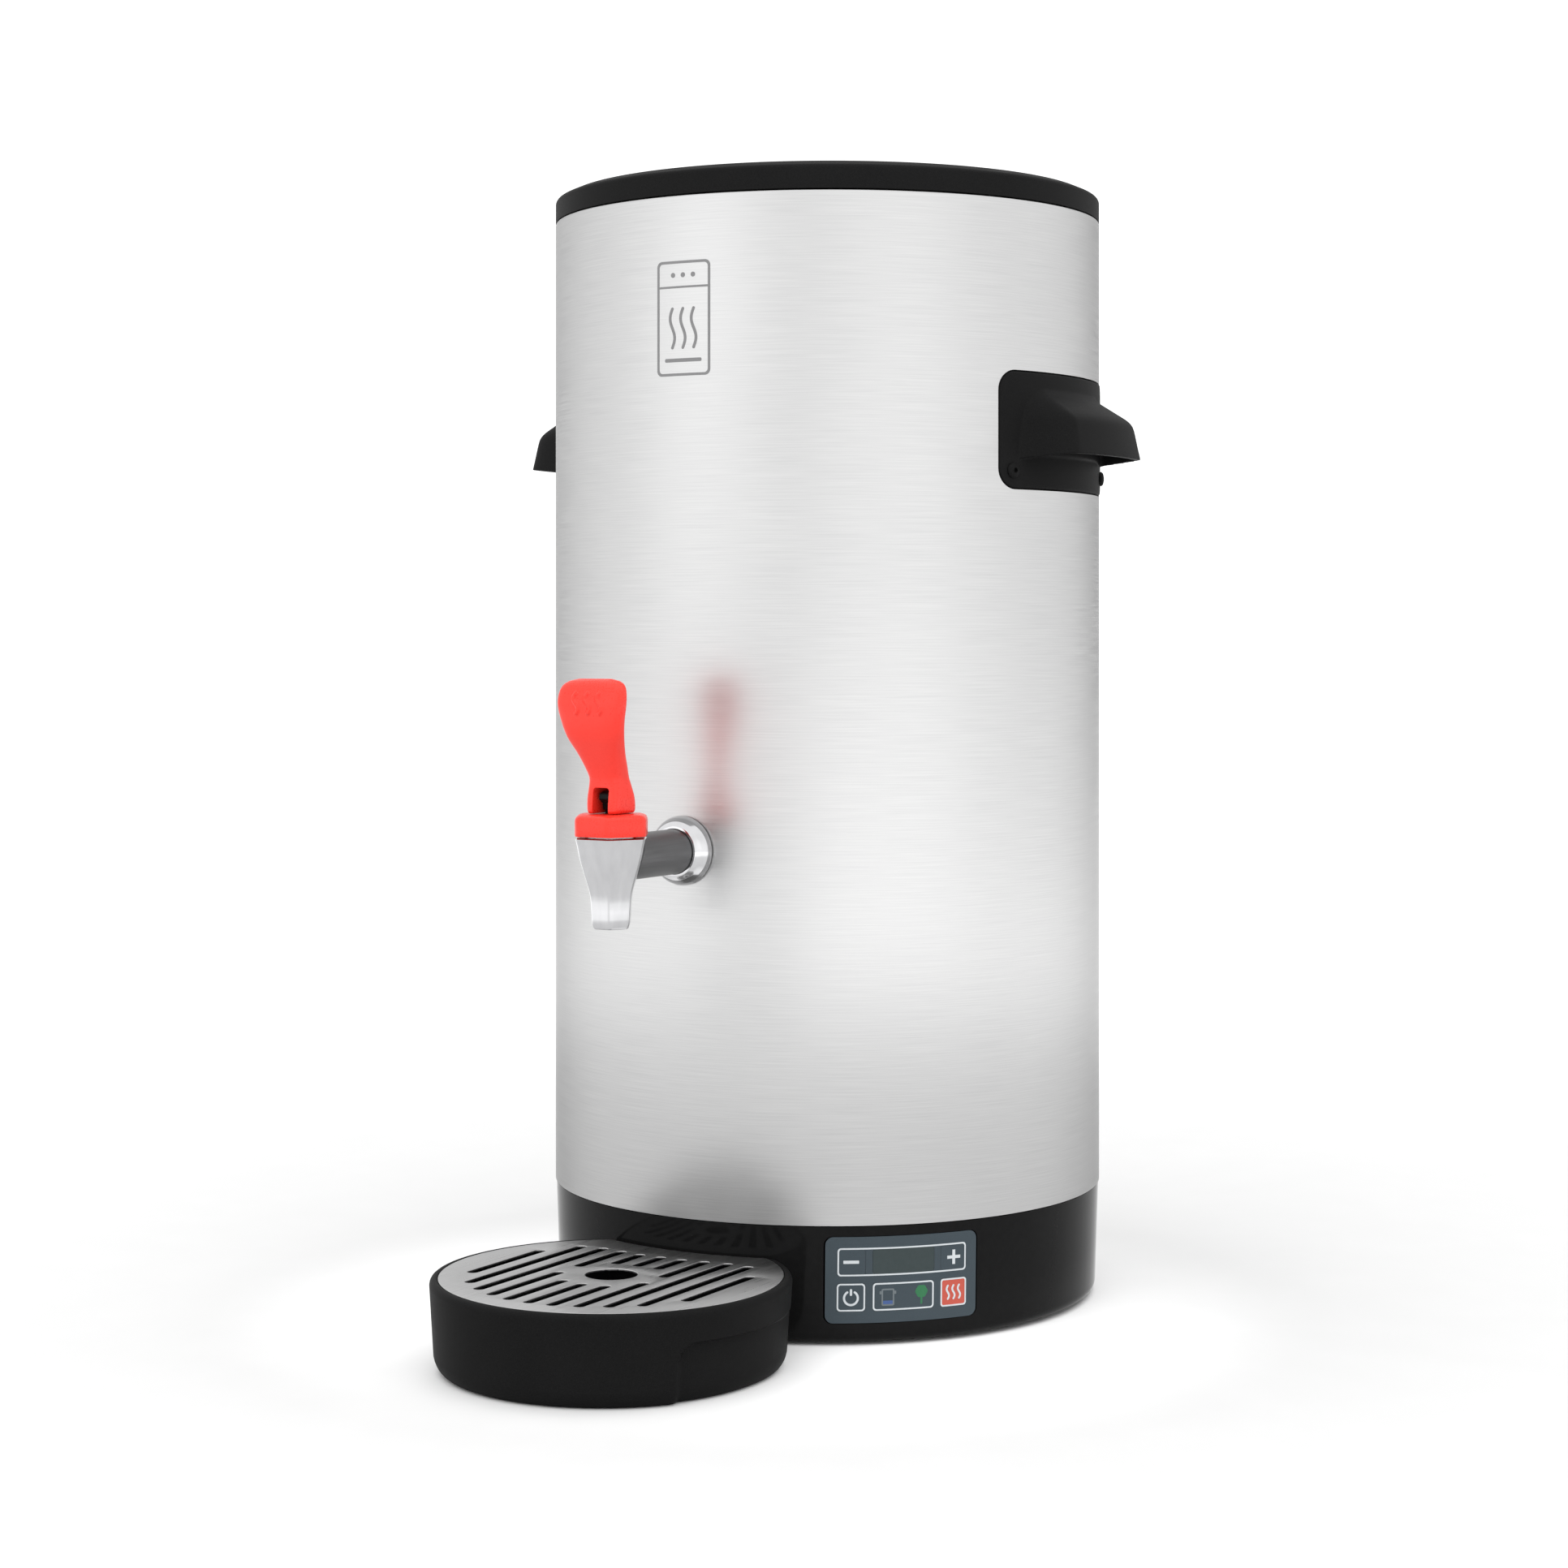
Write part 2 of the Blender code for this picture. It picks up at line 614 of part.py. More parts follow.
def make_handles():
    lip = FLANGE_LIP
    plate = curved_plate("plate", PLATE_OUT_R, PLATE_IN_R, HANDLE_HALF, HANDLE_BOTTOM,
                         HANDLE_TOP, HANDLE_CORNER)
    flange = curved_plate("flange", FLANGE_OUT_R, PLATE_IN_R - 0.0002, HANDLE_HALF + lip,
                          HANDLE_BOTTOM - lip, HANDLE_TOP + lip, HANDLE_CORNER + lip)
    unite(plate, flange, make_hood())
    cut(plate, make_finger_space())
    cut(plate, screw_axis_hole("screw_hole_1", QUARTER - SCREW_BETA, 0.0022),
        screw_axis_hole("screw_hole_2", QUARTER + SCREW_BETA, 0.0022))
    bake(plate)
    CUTTERS.objects.unlink(plate)
    for name, turn in (("handle_right", 0.0), ("handle_left", math.pi)):
        handle = place(name, plate.data, MATTE_BLACK)
        handle.rotation_euler.z = turn
    bpy.data.objects.remove(plate)


def make_handle_fixings():
    strip = curved_plate("strip", 0.1456, 0.1432, 0.0580, SCREW_Z - 0.0060, SCREW_Z + 0.0060,
                         0.0030)
    cut(strip, screw_axis_hole("strip_hole_1", QUARTER - SCREW_BETA, 0.0022),
        screw_axis_hole("strip_hole_2", QUARTER + SCREW_BETA, 0.0022))
    bake(strip)
    for name, turn in (("handle_strip_right", 0.0), ("handle_strip_left", math.pi)):
        piece = place(name, strip.data, ZINC)
        piece.rotation_euler.z = turn
    bpy.data.objects.remove(strip)
    profile = [(0.0, 0.1526), (0.0012, 0.1526), (0.0030, 0.1522), (0.0042, 0.1509),
               (0.0018, 0.1509), (0.0018, 0.1424), (0.0, 0.1420)]
    number = 0
    for side in (QUARTER, -QUARTER):
        for offset in (-SCREW_BETA, SCREW_BETA):
            number += 1
            screw = turned(f"handle_screw_{number}", profile, MATTE_BLACK, 12)
            aim(screw, side + offset, 0.0, SCREW_Z)


# ---- tap ------------------------------------------------------------------------------------
def at_spout(obj):
    obj.location = heading(0.0) * SPOUT


def make_shank():
    shank = turned("tap_shank", [
        (SHANK_R, SHANK_FRONT), (SHANK_R, SHANK_SHOULDER), (THREAD_R, SHANK_SHOULDER),
        (THREAD_R, SHANK_BACK), (BORE_R, SHANK_BACK), (BORE_R, SHANK_FRONT)],
        DARK_STEEL, 28, ring=True)
    aim(shank, 0.0, 0.0, SHANK_Z)
    wall = SHANK_SHOULDER
    escutcheon = turned("shank_escutcheon", [
        (SHANK_R + GAP, wall + 0.0086), (0.0130, wall + 0.0082), (0.0148, wall + 0.0066),
        (0.0165, wall + 0.0041), (0.0176, wall + 0.0016), (0.0179, wall),
        (SHANK_R + GAP, wall)], CHROME, 28, ring=True)
    aim(escutcheon, 0.0, 0.0, SHANK_Z)
    washer = turned("shank_washer", [(0.0140, 0.1288), (0.0140, 0.1261), (0.0103, 0.1261),
                                     (0.0103, 0.1288)], SILICONE, 24, ring=True)
    aim(washer, 0.0, 0.0, SHANK_Z)
    nut = prism("shank_lock_nut", [circle(0.0155, 6), circle(0.0103, 24)], 0.0060, BRASS)
    aim(nut, 0.0, 0.1228, SHANK_Z)


def six_sided(name, profile, look):
    """A turned hexagon with flats to the front and back."""
    obj = turned(name, profile, look, 6, ring=True)
    at_spout(obj)
    return obj


def make_tap_body():
    neck = 0.0130
    body = six_sided("tap_body", [
        (neck, 0.2680), (neck, 0.2605), (0.0199, 0.2602), (0.0188, 0.2557), (0.0176, 0.2503),
        (0.0159, 0.2448), (0.0140, 0.2394), (0.0122, 0.2339), (0.0114, 0.2284),
        (0.0107, 0.2174), (0.0091, 0.2154), (0.0066, 0.2154), (0.0055, 0.2330), (0.0095, 0.2365), (0.0095, 0.2680)], CHROME)
    boss = rod("tap_boss", 0.0105, SHANK_FRONT + GAP, 0.2060, steps=24)
    aim(boss, 0.0, 0.0, SHANK_Z)
    inlet = rod("tap_inlet", BORE_R, 0.1960, 0.2100, steps=16)
    aim(inlet, 0.0, 0.0, SHANK_Z)
    unite(body, boss)
    cut(body, inlet)
    six_sided("tap_bonnet", [
        (0.0165, BONNET_TOP), (0.0187, BONNET_TOP - 0.0005), (0.0200, BONNET_TOP - 0.0016),
        (0.0203, BONNET_TOP - 0.0028), (0.0203, BONNET_BOTTOM), (neck + 0.0006, BONNET_BOTTOM),
        (neck + 0.0006, 0.2690), (0.0040, 0.2690), (0.0040, BONNET_TOP)], RED)


def make_valve():
    stem = turned("valve_stem", [
        (0.0, PIN_Z + 0.0035), (0.0034, PIN_Z + 0.0035), (0.0034, 0.2740), (STEM_R, 0.2736),
        (STEM_R, 0.2380), (0.0, 0.2380)], GLOSS_BLACK, 16)
    at_spout(stem)
    cross = rod("stem_pin_hole", PIN_R + GAP, -0.010, 0.010, steps=12)
    aim(cross, QUARTER, 0.0, PIN_Z)
    cross.location.y = -SPOUT
    cut(stem, cross)
    cup = turned("seat_cup", [
        (0.0, 0.2375), (0.0034, 0.2375), (0.0034, 0.2420), (0.0070, 0.2420), (0.0070, 0.2368),
        (0.0045, 0.2337), (0.0, 0.2337)], SILICONE, 16)
    at_spout(cup)
    turns = 6
    per_turn = 10
    low = 0.2431
    high = 0.2680
    points = []
    for i in range(turns * per_turn + 1):
        angle = 2 * math.pi * i / per_turn
        rise = low + (high - low) * i / (turns * per_turn)
        points.append((0.0056 * math.cos(angle), 0.0056 * math.sin(angle), rise))
    spring = tube("tap_spring", points, 0.0005, STEEL, 1)
    at_spout(spring)


def lever_section(z, lean, half_width, half_depth, squareness):
    """One level of the lever: a squircle, leaning forward of the tap's axis."""
    loop = []
    count = 16
    for i in range(count):
        angle = 2 * math.pi * (i + 0.5) / count
        c = math.cos(angle)
        s = math.sin(angle)
        x = half_width * math.copysign(abs(c) ** squareness, c)
        y = half_depth * math.copysign(abs(s) ** squareness, s) - lean
        loop.append((x, y, z))
    return loop


def make_lever():
    """A paddle that sweeps forward, over a clevis that straddles the valve stem."""
    base = BONNET_TOP + GAP
    levels = [
        (base, 0.0, 0.0080, 0.0098, 0.30), (base + 0.0012, 0.0, 0.0087, 0.0104, 0.30),
        (0.2800, 0.0003, 0.0093, 0.0096, 0.35), (0.2860, 0.0010, 0.0090, 0.0083, 0.45),
        (0.2900, 0.0020, 0.0090, 0.0076, 0.55), (0.2950, 0.0045, 0.0104, 0.0069, 0.60),
        (0.3020, 0.0088, 0.0124, 0.0062, 0.60), (0.3100, 0.0138, 0.0155, 0.0053, 0.60),
        (0.3180, 0.0164, 0.0176, 0.0047, 0.60), (0.3260, 0.0172, 0.0193, 0.0043, 0.60),
        (0.3320, 0.0164, 0.0190, 0.0040, 0.60), (0.3357, 0.0153, 0.0174, 0.0036, 0.62),
        (0.3378, 0.0143, 0.0140, 0.0028, 0.70), (0.3387, 0.0138, 0.0096, 0.0015, 0.80)]
    shape = bmesh.new()
    loops = []
    for level in levels:
        loops.append([shape.verts.new(co) for co in lever_section(*level)])
    for lower, upper in zip(loops, loops[1:]):
        for i in range(len(lower)):
            j = (i + 1) % len(lower)
            shape.faces.new((lower[i], lower[j], upper[j], upper[i]))
    shape.faces.new(loops[0][::-1])
    shape.faces.new(loops[-1])
    mesh = bpy.data.meshes.new("tap_lever")
    shape.to_mesh(mesh)
    shape.free()
    mesh.shade_smooth()
    lever = place("tap_lever", mesh, RED)
    lever.location = heading(0.0) * SPOUT
    slot = block("lever_slot", (0.0092, 0.0180, 0.0160), (0.0, -SPOUT - 0.0025, 0.2770))
    hole = rod("lever_pin_hole", PIN_R + GAP, -0.012, 0.012, steps=12)
    aim(hole, QUARTER, 0.0, PIN_Z)
    hole.location.y = -SPOUT
    cut(lever, slot, hole)
    pin = rod("lever_pin", PIN_R, -0.0074, 0.0074, ZINC, 12)
    aim(pin, QUARTER, 0.0, PIN_Z)
    pin.location.y = -SPOUT


# ---- control panel --------------------------------------------------------------------------
def panel_piece(name, beta, half, low, high, corner, look, inner=PANEL_IN_R, proud=0.0002):
    """A rounded rectangle of the base's tapered wall, at an angle from the front."""
    outer_low = base_radius(low - 0.004) + proud
    outer_high = base_radius(high + 0.004) + proud
    piece = turned(name, [(outer_high, high + 0.004), (outer_low, low - 0.004),
                          (inner, low - 0.004), (inner, high + 0.004)], look, ring=True)
    limit = prism(name + "_limit", [rounded_box_outline(half, low, high, corner)], 0.03)
    aim(limit, beta, BODY_R, 0.0)
    keep_within(piece, limit)
    return piece


def make_panel():
    panel = panel_piece("control_panel", PANEL_BETA, PANEL_HALF, PANEL_BOTTOM, PANEL_TOP,
                        0.0042, SLATE)
    left = PANEL_BETA - KEY_BETA
    right = PANEL_BETA + KEY_BETA
    insets = [("key_minus", left, KEY_HALF, UPPER_ROW, SLATE),
              ("key_plus", right, KEY_HALF, UPPER_ROW, SLATE),
              ("key_power", left, KEY_HALF, LOWER_ROW, SLATE),
              ("key_boil", right, KEY_HALF, LOWER_ROW, KEY_RED),
              ("display_window", PANEL_BETA, WINDOW_HALF, UPPER_ROW, DARK_WINDOW),
              ("indicator_window", PANEL_BETA, WINDOW_HALF, LOWER_ROW, DARK_WINDOW)]
    for name, beta, half, (low, high), look in insets:
        corner = 0.0016
        hole = prism(name + "_hole", [rounded_box_outline(half + GAP, low - GAP, high + GAP,
                                                          corner, 2)], 0.03)
        aim(hole, beta, BODY_R, 0.0)
        cut(panel, hole)
        panel_piece(name, beta, half, low, high, corner - GAP, look, PANEL_IN_R + 0.0006)


def make_control_board():
    reach = 0.1270
    middle = (PANEL_BOTTOM + PANEL_TOP) / 2
    board = prism("control_board", [rounded_box_outline(0.0350, -0.0200, 0.0200, 0.0020, 2)],
                  0.0016, BOARD_GREEN)
    aim(board, PANEL_BETA, reach, middle)
    display = block("board_display", (0.0300, 0.0120, 0.0100), (0.0, 0.0, 0.0))
    aim(display, PANEL_BETA, reach + 0.0052, (UPPER_ROW[0] + UPPER_ROW[1]) / 2)
    unite(board, display)
    lateral = Vector((math.cos(PANEL_BETA), math.sin(PANEL_BETA), 0.0))
    for i, side in enumerate((-1.0, 1.0)):
        for j, row in enumerate((LOWER_ROW, UPPER_ROW)):
            switch = rod(f"board_switch_{2 * i + j + 1}", 0.0028, 0.0, 0.0150, steps=12)
            aim(switch, PANEL_BETA, reach, (row[0] + row[1]) / 2)
            switch.location += lateral * side * 0.0260
            unite(board, switch)


# ---- drip tray ------------------------------------------------------------------------------
def body_clearance(name, radius):
    """What the body's curve takes off the tray, turned so that no facets line up."""
    body = rod(name, radius, -0.05, 0.10, steps=ROUND)
    body.rotation_euler.z = FACET_SHIFT
    return body


def tray_basin(name, profile, rear):
    basin = turned(name, profile)
    basin.rotation_euler.z = FACET_SHIFT
    at_spout(basin)
    cut(basin, body_clearance(name + "_rear", rear))
    return basin


def make_tray():
    tray = turned("drip_tray", [
        (0.0, TRAY_TOP), (0.0866, TRAY_TOP), (0.0884, 0.0442), (TRAY_R, 0.0422),
        (0.0873, 0.0078), (0.0862, 0.0042), (0.0840, 0.0012), (0.0815, 0.0), (0.0, 0.0)],
        MATTE_BLACK)
    at_spout(tray)
    grip = turned("grip_recess", [(0.0950, 0.0290), (0.0950, -0.0010), (0.0838, -0.0010),
                                  (0.0856, 0.0290)], ring=True)
    grip.rotation_euler.z = FACET_SHIFT
    at_spout(grip)
    front_end = -SPOUT - TRAY_R * math.cos(math.radians(55.0))
    limit = prism("grip_limit", [fillet([
        (front_end, -0.0020, 0.0), (-0.1000, -0.0020, 0.0), (-0.1000, 0.0289, 0.0),
        (front_end, 0.0289, 0.0080)])], 0.25)
    limit.rotation_euler = (QUARTER, 0.0, QUARTER)
    keep_within(grip, limit)
    ledge = GRID_BOTTOM - GAP
    seat = tray_basin("grid_seat", [(0.0, 0.0500), (GRID_R + GAP, 0.0500), (GRID_R + GAP, ledge),
                                    (0.0, ledge)], GRID_REAR_R - GAP)
    basin = tray_basin("tray_basin", [(0.0, 0.0480), (0.0828, 0.0480), (0.0805, 0.0045),
                                      (0.0785, 0.0025), (0.0, 0.0025)], 0.1550)
    cut(tray, seat, basin, body_clearance("tray_rear", TRAY_REAR_R), grip)


def grid_outline():
    """A circle with a bite out of its rear, concentric with the body."""
    ahead = (SPOUT ** 2 + GRID_REAR_R ** 2 - GRID_R ** 2) / (2 * SPOUT)
    horn = math.acos(ahead / GRID_REAR_R)
    sweep = math.atan2(GRID_REAR_R * math.sin(horn), SPOUT - ahead)
    points = []
    steps = 56
    for i in range(steps + 1):
        angle = sweep + (2 * math.pi - 2 * sweep) * i / steps
        points.append((GRID_R * math.sin(angle), -SPOUT + GRID_R * math.cos(angle)))
    steps = 12
    for i in range(1, steps):
        beta = -horn + 2 * horn * i / steps
        points.append(tuple((heading(beta) * GRID_REAR_R).xy))
    return points


def slot_outline(x, front, back):
    """A slot with round ends, running front to back: distances ahead of the hole's centre."""
    points = []
    for end, start in ((-SPOUT - front, math.pi), (-SPOUT - back, 0.0)):
        inner = end + SLOT_HALF if start else end - SLOT_HALF
        for step in range(5):
            angle = start + math.pi * step / 4
            points.append((x + SLOT_HALF * math.cos(angle), inner + SLOT_HALF * math.sin(angle)))
    return points


def make_grid():
    # by distance from the middle line: the slots' front and rear ends
    rows = [[(0.0729, 0.0235), (-0.0216, -0.0475)],
            [(0.0719, 0.0215), (-0.0211, -0.0475)],
            [(0.0679, 0.0070), (-0.0066, -0.0492)],
            [(0.0614, -0.0510)],
            [(0.0514, -0.0500)],
            [(0.0322, -0.0310)]]
    outlines = [grid_outline(), circle(GRID_HOLE_R, 24, (0.0, -SPOUT))]
    for i, row in enumerate(rows):
        for side in ((1.0, -1.0) if i else (1.0,)):
            for front, back in row:
                outlines.append(slot_outline(side * i * SLOT_PITCH, front, back))
    grid = prism("drip_grid", outlines, 0.0012, STEEL)
    grid.location.z = GRID_BOTTOM + 0.0006


# ---- water inlet and power ------------------------------------------------------------------
def make_water_inlet():
    fitting = turned("inlet_fitting", [
        (0.0125, INLET_REACH), (0.0125, 0.1190), (0.0070, 0.1190), (0.0070, INLET_REACH)],
        BRASS, 24, ring=True)
    aim(fitting, math.pi, 0.0, INLET_Z)
    solenoid = block("inlet_solenoid", (0.0340, 0.0420, 0.0320),
                     (0.0, 0.1186 - 0.0210, INLET_Z), MATTE_BLACK)
    bevel = solenoid.modifiers.new("edges", "BEVEL")
    bevel.width = 0.0020
    bevel.segments = 2
    low = INLET_Z + 0.0160 + GAP
    rise = TANK_FLOOR - GAP - low
    points = []
    for i in range(13):
        part = i / 12
        points.append((0.0080 * math.sin(2 * math.pi * part) * part * (1 - part),
                       HOSE_Y, low + rise * part))
    tube("inlet_hose", points, 0.0050, SILICONE)


def make_power_parts():
    gland = turned("cable_gland", [
        (0.0045, 0.1590), (0.0075, 0.1590), (0.0100, 0.1560), (0.0105, 0.1500),
        (0.0105, 0.1494), (0.0078, 0.1494), (0.0078, 0.1410), (0.0035, 0.1410),
        (0.0035, 0.1590)], MATTE_BLACK, 24, ring=True)
    aim(gland, GLAND_BETA, 0.0, INLET_Z)
    relay = prism("power_relay", [rounded_box_outline(0.0250, -0.0150, 0.0150, 0.0020, 2)],
                  0.0180, MATTE_BLACK)
    relay.location = (-0.0600, 0.0450, BOTTOM_PLATE[1] + GAP + 0.0090)


# ---- build ----------------------------------------------------------------------------------
for leftover in list(bpy.data.objects):
    bpy.data.objects.remove(leftover)
DISPENSER = new_collection("water_dispenser")
CUTTERS = new_collection("cutters")
ORIGIN = bpy.data.objects.new("body_axis", None)
DISPENSER.objects.link(ORIGIN)
ORIGIN.location.y = BODY_Y

make_jacket()
make_base_housing()
make_bottom_plate()
make_feet_and_base_screws()
make_tank_stand()
make_tank()
make_insulation()
make_rim_ring()
make_heating_element()
make_probes()
make_lid()
make_handles()
make_handle_fixings()
make_shank()
make_tap_body()
make_valve()
make_lever()
make_panel()
make_control_board()
make_tray()
make_grid()
make_water_inlet()
make_power_parts()
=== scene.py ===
"""Looks of a countertop hot-water dispenser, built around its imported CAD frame.

Metres, +Z up, the tap and the drip tray face -Y. An angle called beta is measured round the
body's axis, from the front towards +X.
"""

import json
import math

import bmesh
import bpy
from mathutils import Matrix, Vector


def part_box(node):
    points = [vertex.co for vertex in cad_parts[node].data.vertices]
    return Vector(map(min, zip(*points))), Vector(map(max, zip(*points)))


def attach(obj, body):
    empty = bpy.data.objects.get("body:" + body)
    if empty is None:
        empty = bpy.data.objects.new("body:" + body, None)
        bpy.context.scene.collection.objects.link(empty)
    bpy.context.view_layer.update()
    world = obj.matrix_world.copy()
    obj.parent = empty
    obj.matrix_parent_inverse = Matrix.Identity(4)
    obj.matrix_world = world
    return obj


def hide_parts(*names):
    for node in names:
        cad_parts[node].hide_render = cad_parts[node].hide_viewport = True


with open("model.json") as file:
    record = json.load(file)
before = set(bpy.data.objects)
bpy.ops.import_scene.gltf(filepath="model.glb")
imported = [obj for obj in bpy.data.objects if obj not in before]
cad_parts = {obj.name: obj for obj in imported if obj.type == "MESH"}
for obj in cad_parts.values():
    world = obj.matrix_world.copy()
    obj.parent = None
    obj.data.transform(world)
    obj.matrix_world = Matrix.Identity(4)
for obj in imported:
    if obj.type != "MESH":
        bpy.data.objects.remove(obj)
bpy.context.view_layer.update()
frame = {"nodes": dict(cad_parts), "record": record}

# ---- where things are, from the frame ----
JACKET_LOW, JACKET_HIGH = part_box("outer_jacket")
AXIS_Y = (JACKET_LOW.y + JACKET_HIGH.y) / 2
BODY_R = (JACKET_HIGH.x - JACKET_LOW.x) / 2
TAP_LOW, TAP_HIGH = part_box("tap_bonnet")
TAP_Y = (TAP_LOW.y + TAP_HIGH.y) / 2
SPOUT = AXIS_Y - TAP_Y
SHANK_LOW, SHANK_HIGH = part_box("tap_shank")
SHANK_Z = (SHANK_LOW.z + SHANK_HIGH.z) / 2
BASE_TOP = 0.061
PIN_Z = 0.279
SHANK_HOLE_R = 0.0106
QUARTER = math.pi / 2
WELD = 0.000001            # points nearer than this are one

PIN_PLACE = Matrix.Translation((0.0, TAP_Y, PIN_Z)) @ Matrix.Rotation(QUARTER, 4, "Y")


def span(name):
    """The heights between which a CAD node lies."""
    low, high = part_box(name)
    return low.z, high.z


# ---- shape helpers ----
def heading(beta):
    return Vector((math.sin(beta), -math.cos(beta), 0.0))


def aimed(beta, reach, z):
    """Placement that points +Z outwards along a heading and keeps +Y up."""
    turn = Matrix.Rotation(beta, 4, "Z") @ Matrix.Rotation(QUARTER, 4, "X")
    spot = heading(beta) * reach + Vector((0.0, AXIS_Y, z))
    return Matrix.Translation(spot) @ turn


def around(count):
    """Angles at even steps, once round."""
    return [2 * math.pi * i / count for i in range(count)]


def circle(radius, count, centre=(0.0, 0.0)):
    return [(centre[0] + radius * math.cos(angle), centre[1] + radius * math.sin(angle))
            for angle in around(count)]


def fillet(corners, steps=6):
    """Round a polygon: corners are (x, y, radius), or (x, y) for one that stays sharp."""
    points = []
    for i, (x, y, *rest) in enumerate(corners):
        here = Vector((x, y))
        if not rest:
            points.append((x, y))
            continue
        radius = rest[0]
        before = (Vector(corners[i - 1][:2]) - here).normalized()
        after = (Vector(corners[(i + 1) % len(corners)][:2]) - here).normalized()
        half = before.angle(after) / 2
        centre = here + (before + after).normalized() * (radius / math.sin(half))
        start = here + before * (radius / math.tan(half)) - centre
        end = here + after * (radius / math.tan(half)) - centre
        turn = math.atan2(start.x * end.y - start.y * end.x, start.dot(end))
        for step in range(steps + 1):
            spoke = Matrix.Rotation(turn * step / steps, 2) @ start
            points.append(tuple(centre + spoke))
    return points


def rounded_box(half_x, low_y, high_y, radius, steps=6, centre_x=0.0):
    return fillet([(centre_x - half_x, low_y, radius), (centre_x + half_x, low_y, radius),
                   (centre_x + half_x, high_y, radius), (centre_x - half_x, high_y, radius)], steps)


def stroke(points, width, caps=5):
    """Outline of a line of this width with round ends."""
    left = []
    right = []
    half = width / 2
    count = len(points)
    for i, point in enumerate(points):
        here = Vector(point)
        along = (Vector(points[min(i + 1, count - 1)]) - Vector(points[max(i - 1, 0)])).normalized()
        side = Vector((-along.y, along.x)) * half
        left.append(tuple(here + side))
        right.append(tuple(here - side))
    outline = list(right)
    for end, inner in ((Vector(points[-1]), right[-1]), (Vector(points[0]), left[0])):
        if end == Vector(points[0]):
            outline += left[::-1]
        start = Vector(inner) - end
        for step in range(1, caps):
            outline.append(tuple(end + Matrix.Rotation(math.pi * step / caps, 2) @ start))
    return outline


def between(levels, z):
    """Catmull-Rom through the levels at a height."""
    k = 0
    while k < len(levels) - 2 and levels[k + 1][0] < z:
        k += 1
    p = [levels[max(k - 1, 0)], levels[k], levels[k + 1], levels[min(k + 2, len(levels) - 1)]]
    t = (z - p[1][0]) / (p[2][0] - p[1][0])
    values = [z]
    for i in range(1, len(p[0])):
        slope1 = (p[2][i] - p[0][i]) / (p[2][0] - p[0][0])
        slope2 = (p[3][i] - p[1][i]) / (p[3][0] - p[1][0])
        gap = p[2][0] - p[1][0]
        h00 = 2 * t ** 3 - 3 * t ** 2 + 1
        h10 = t ** 3 - 2 * t ** 2 + t
        h01 = -2 * t ** 3 + 3 * t ** 2
        h11 = t ** 3 - t ** 2
        values.append(h00 * p[1][i] + h10 * gap * slope1 + h01 * p[2][i] + h11 * gap * slope2)
    return values


def dress(mesh, material, smooth):
    mesh.materials.clear()
    if material:
        mesh.materials.append(material)
    mesh.shade_smooth()
    mesh.set_sharp_from_angle(angle=math.radians(smooth))


def link(name, mesh, material, smooth=35.0):
    obj = bpy.data.objects.new(name, mesh)
    bpy.context.scene.collection.objects.link(obj)
    dress(mesh, material, smooth)
    return obj


def evaluated_mesh(obj):
    bpy.context.view_layer.update()
    depsgraph = bpy.context.evaluated_depsgraph_get()
    return bpy.data.meshes.new_from_object(obj.evaluated_get(depsgraph))


def ease(value, low, high):
    """A smooth step from 0 to 1 between two values."""
    t = min(1.0, max(0.0, (value - low) / (high - low)))
    return t * t * (3 - 2 * t)


def wave(x, low, tall, swing, count=24):
    """Points up one upright wave."""
    points = []
    for i in range(count + 1):
        t = i / count
        points.append((x + swing * math.sin(2 * math.pi * t), low + tall * t))
    return points


def piece_from(shape, name, material=None, smooth=35.0, matrix=None):
    """Turn a bmesh into an object, its faces pointing out, and free it."""
    bmesh.ops.recalc_face_normals(shape, faces=shape.faces)
    mesh = bpy.data.meshes.new(name)
    shape.to_mesh(mesh)
    shape.free()
    if matrix:
        mesh.transform(matrix)
    return link(name, mesh, material, smooth)


def lathe(name, profile, material=None, steps=192, ring=False, matrix=None, smooth=35.0):
    """Turn (radius, z) points, given from the top down the outer side, about the body's axis.

    Its UV map holds metres: u runs round the piece and v along the profile."""
    shape = bmesh.new()
    layer = shape.loops.layers.uv.new("metres")
    poles = {}
    for k, (radius, z) in enumerate(profile):
        if radius == 0.0:
            poles[k] = shape.verts.new((0.0, 0.0, z))
    columns = []
    for i in range(steps):
        angle = QUARTER + 2 * math.pi * i / steps
        column = []
        for k, (radius, z) in enumerate(profile):
            co = (radius * math.cos(angle), radius * math.sin(angle), z)
            column.append(poles[k] if k in poles else shape.verts.new(co))
        columns.append(column)
    lengths = [0.0]
    for a, b in zip(profile, profile[1:] + profile[:1]):
        lengths.append(lengths[-1] + math.dist(a, b))
    reach = max(radius for radius, _ in profile)
    spans = list(zip(range(len(profile)), range(1, len(profile))))
    if ring:
        spans.append((len(profile) - 1, 0))
    for i in range(steps):
        here = columns[i]
        there = columns[(i + 1) % steps]
        u0 = 2 * math.pi * reach * i / steps
        u1 = 2 * math.pi * reach * (i + 1) / steps
        for upper, lower in spans:
            v0 = lengths[upper]
            v1 = lengths[upper + 1]
            corners = [(here[upper], u0, v0), (here[lower], u0, v1),
                       (there[lower], u1, v1), (there[upper], u1, v0)]
            unique = []
            for corner in corners:
                if corner[0] not in [u[0] for u in unique]:
                    unique.append(corner)
            if len(unique) < 3:
                continue
            face = shape.faces.new([c[0] for c in unique])
            for loop, (_, u, v) in zip(face.loops, unique):
                loop[layer].uv = (u, v)
    place = matrix or Matrix.Translation((0.0, AXIS_Y, 0.0))
    return piece_from(shape, name, material, smooth, place)


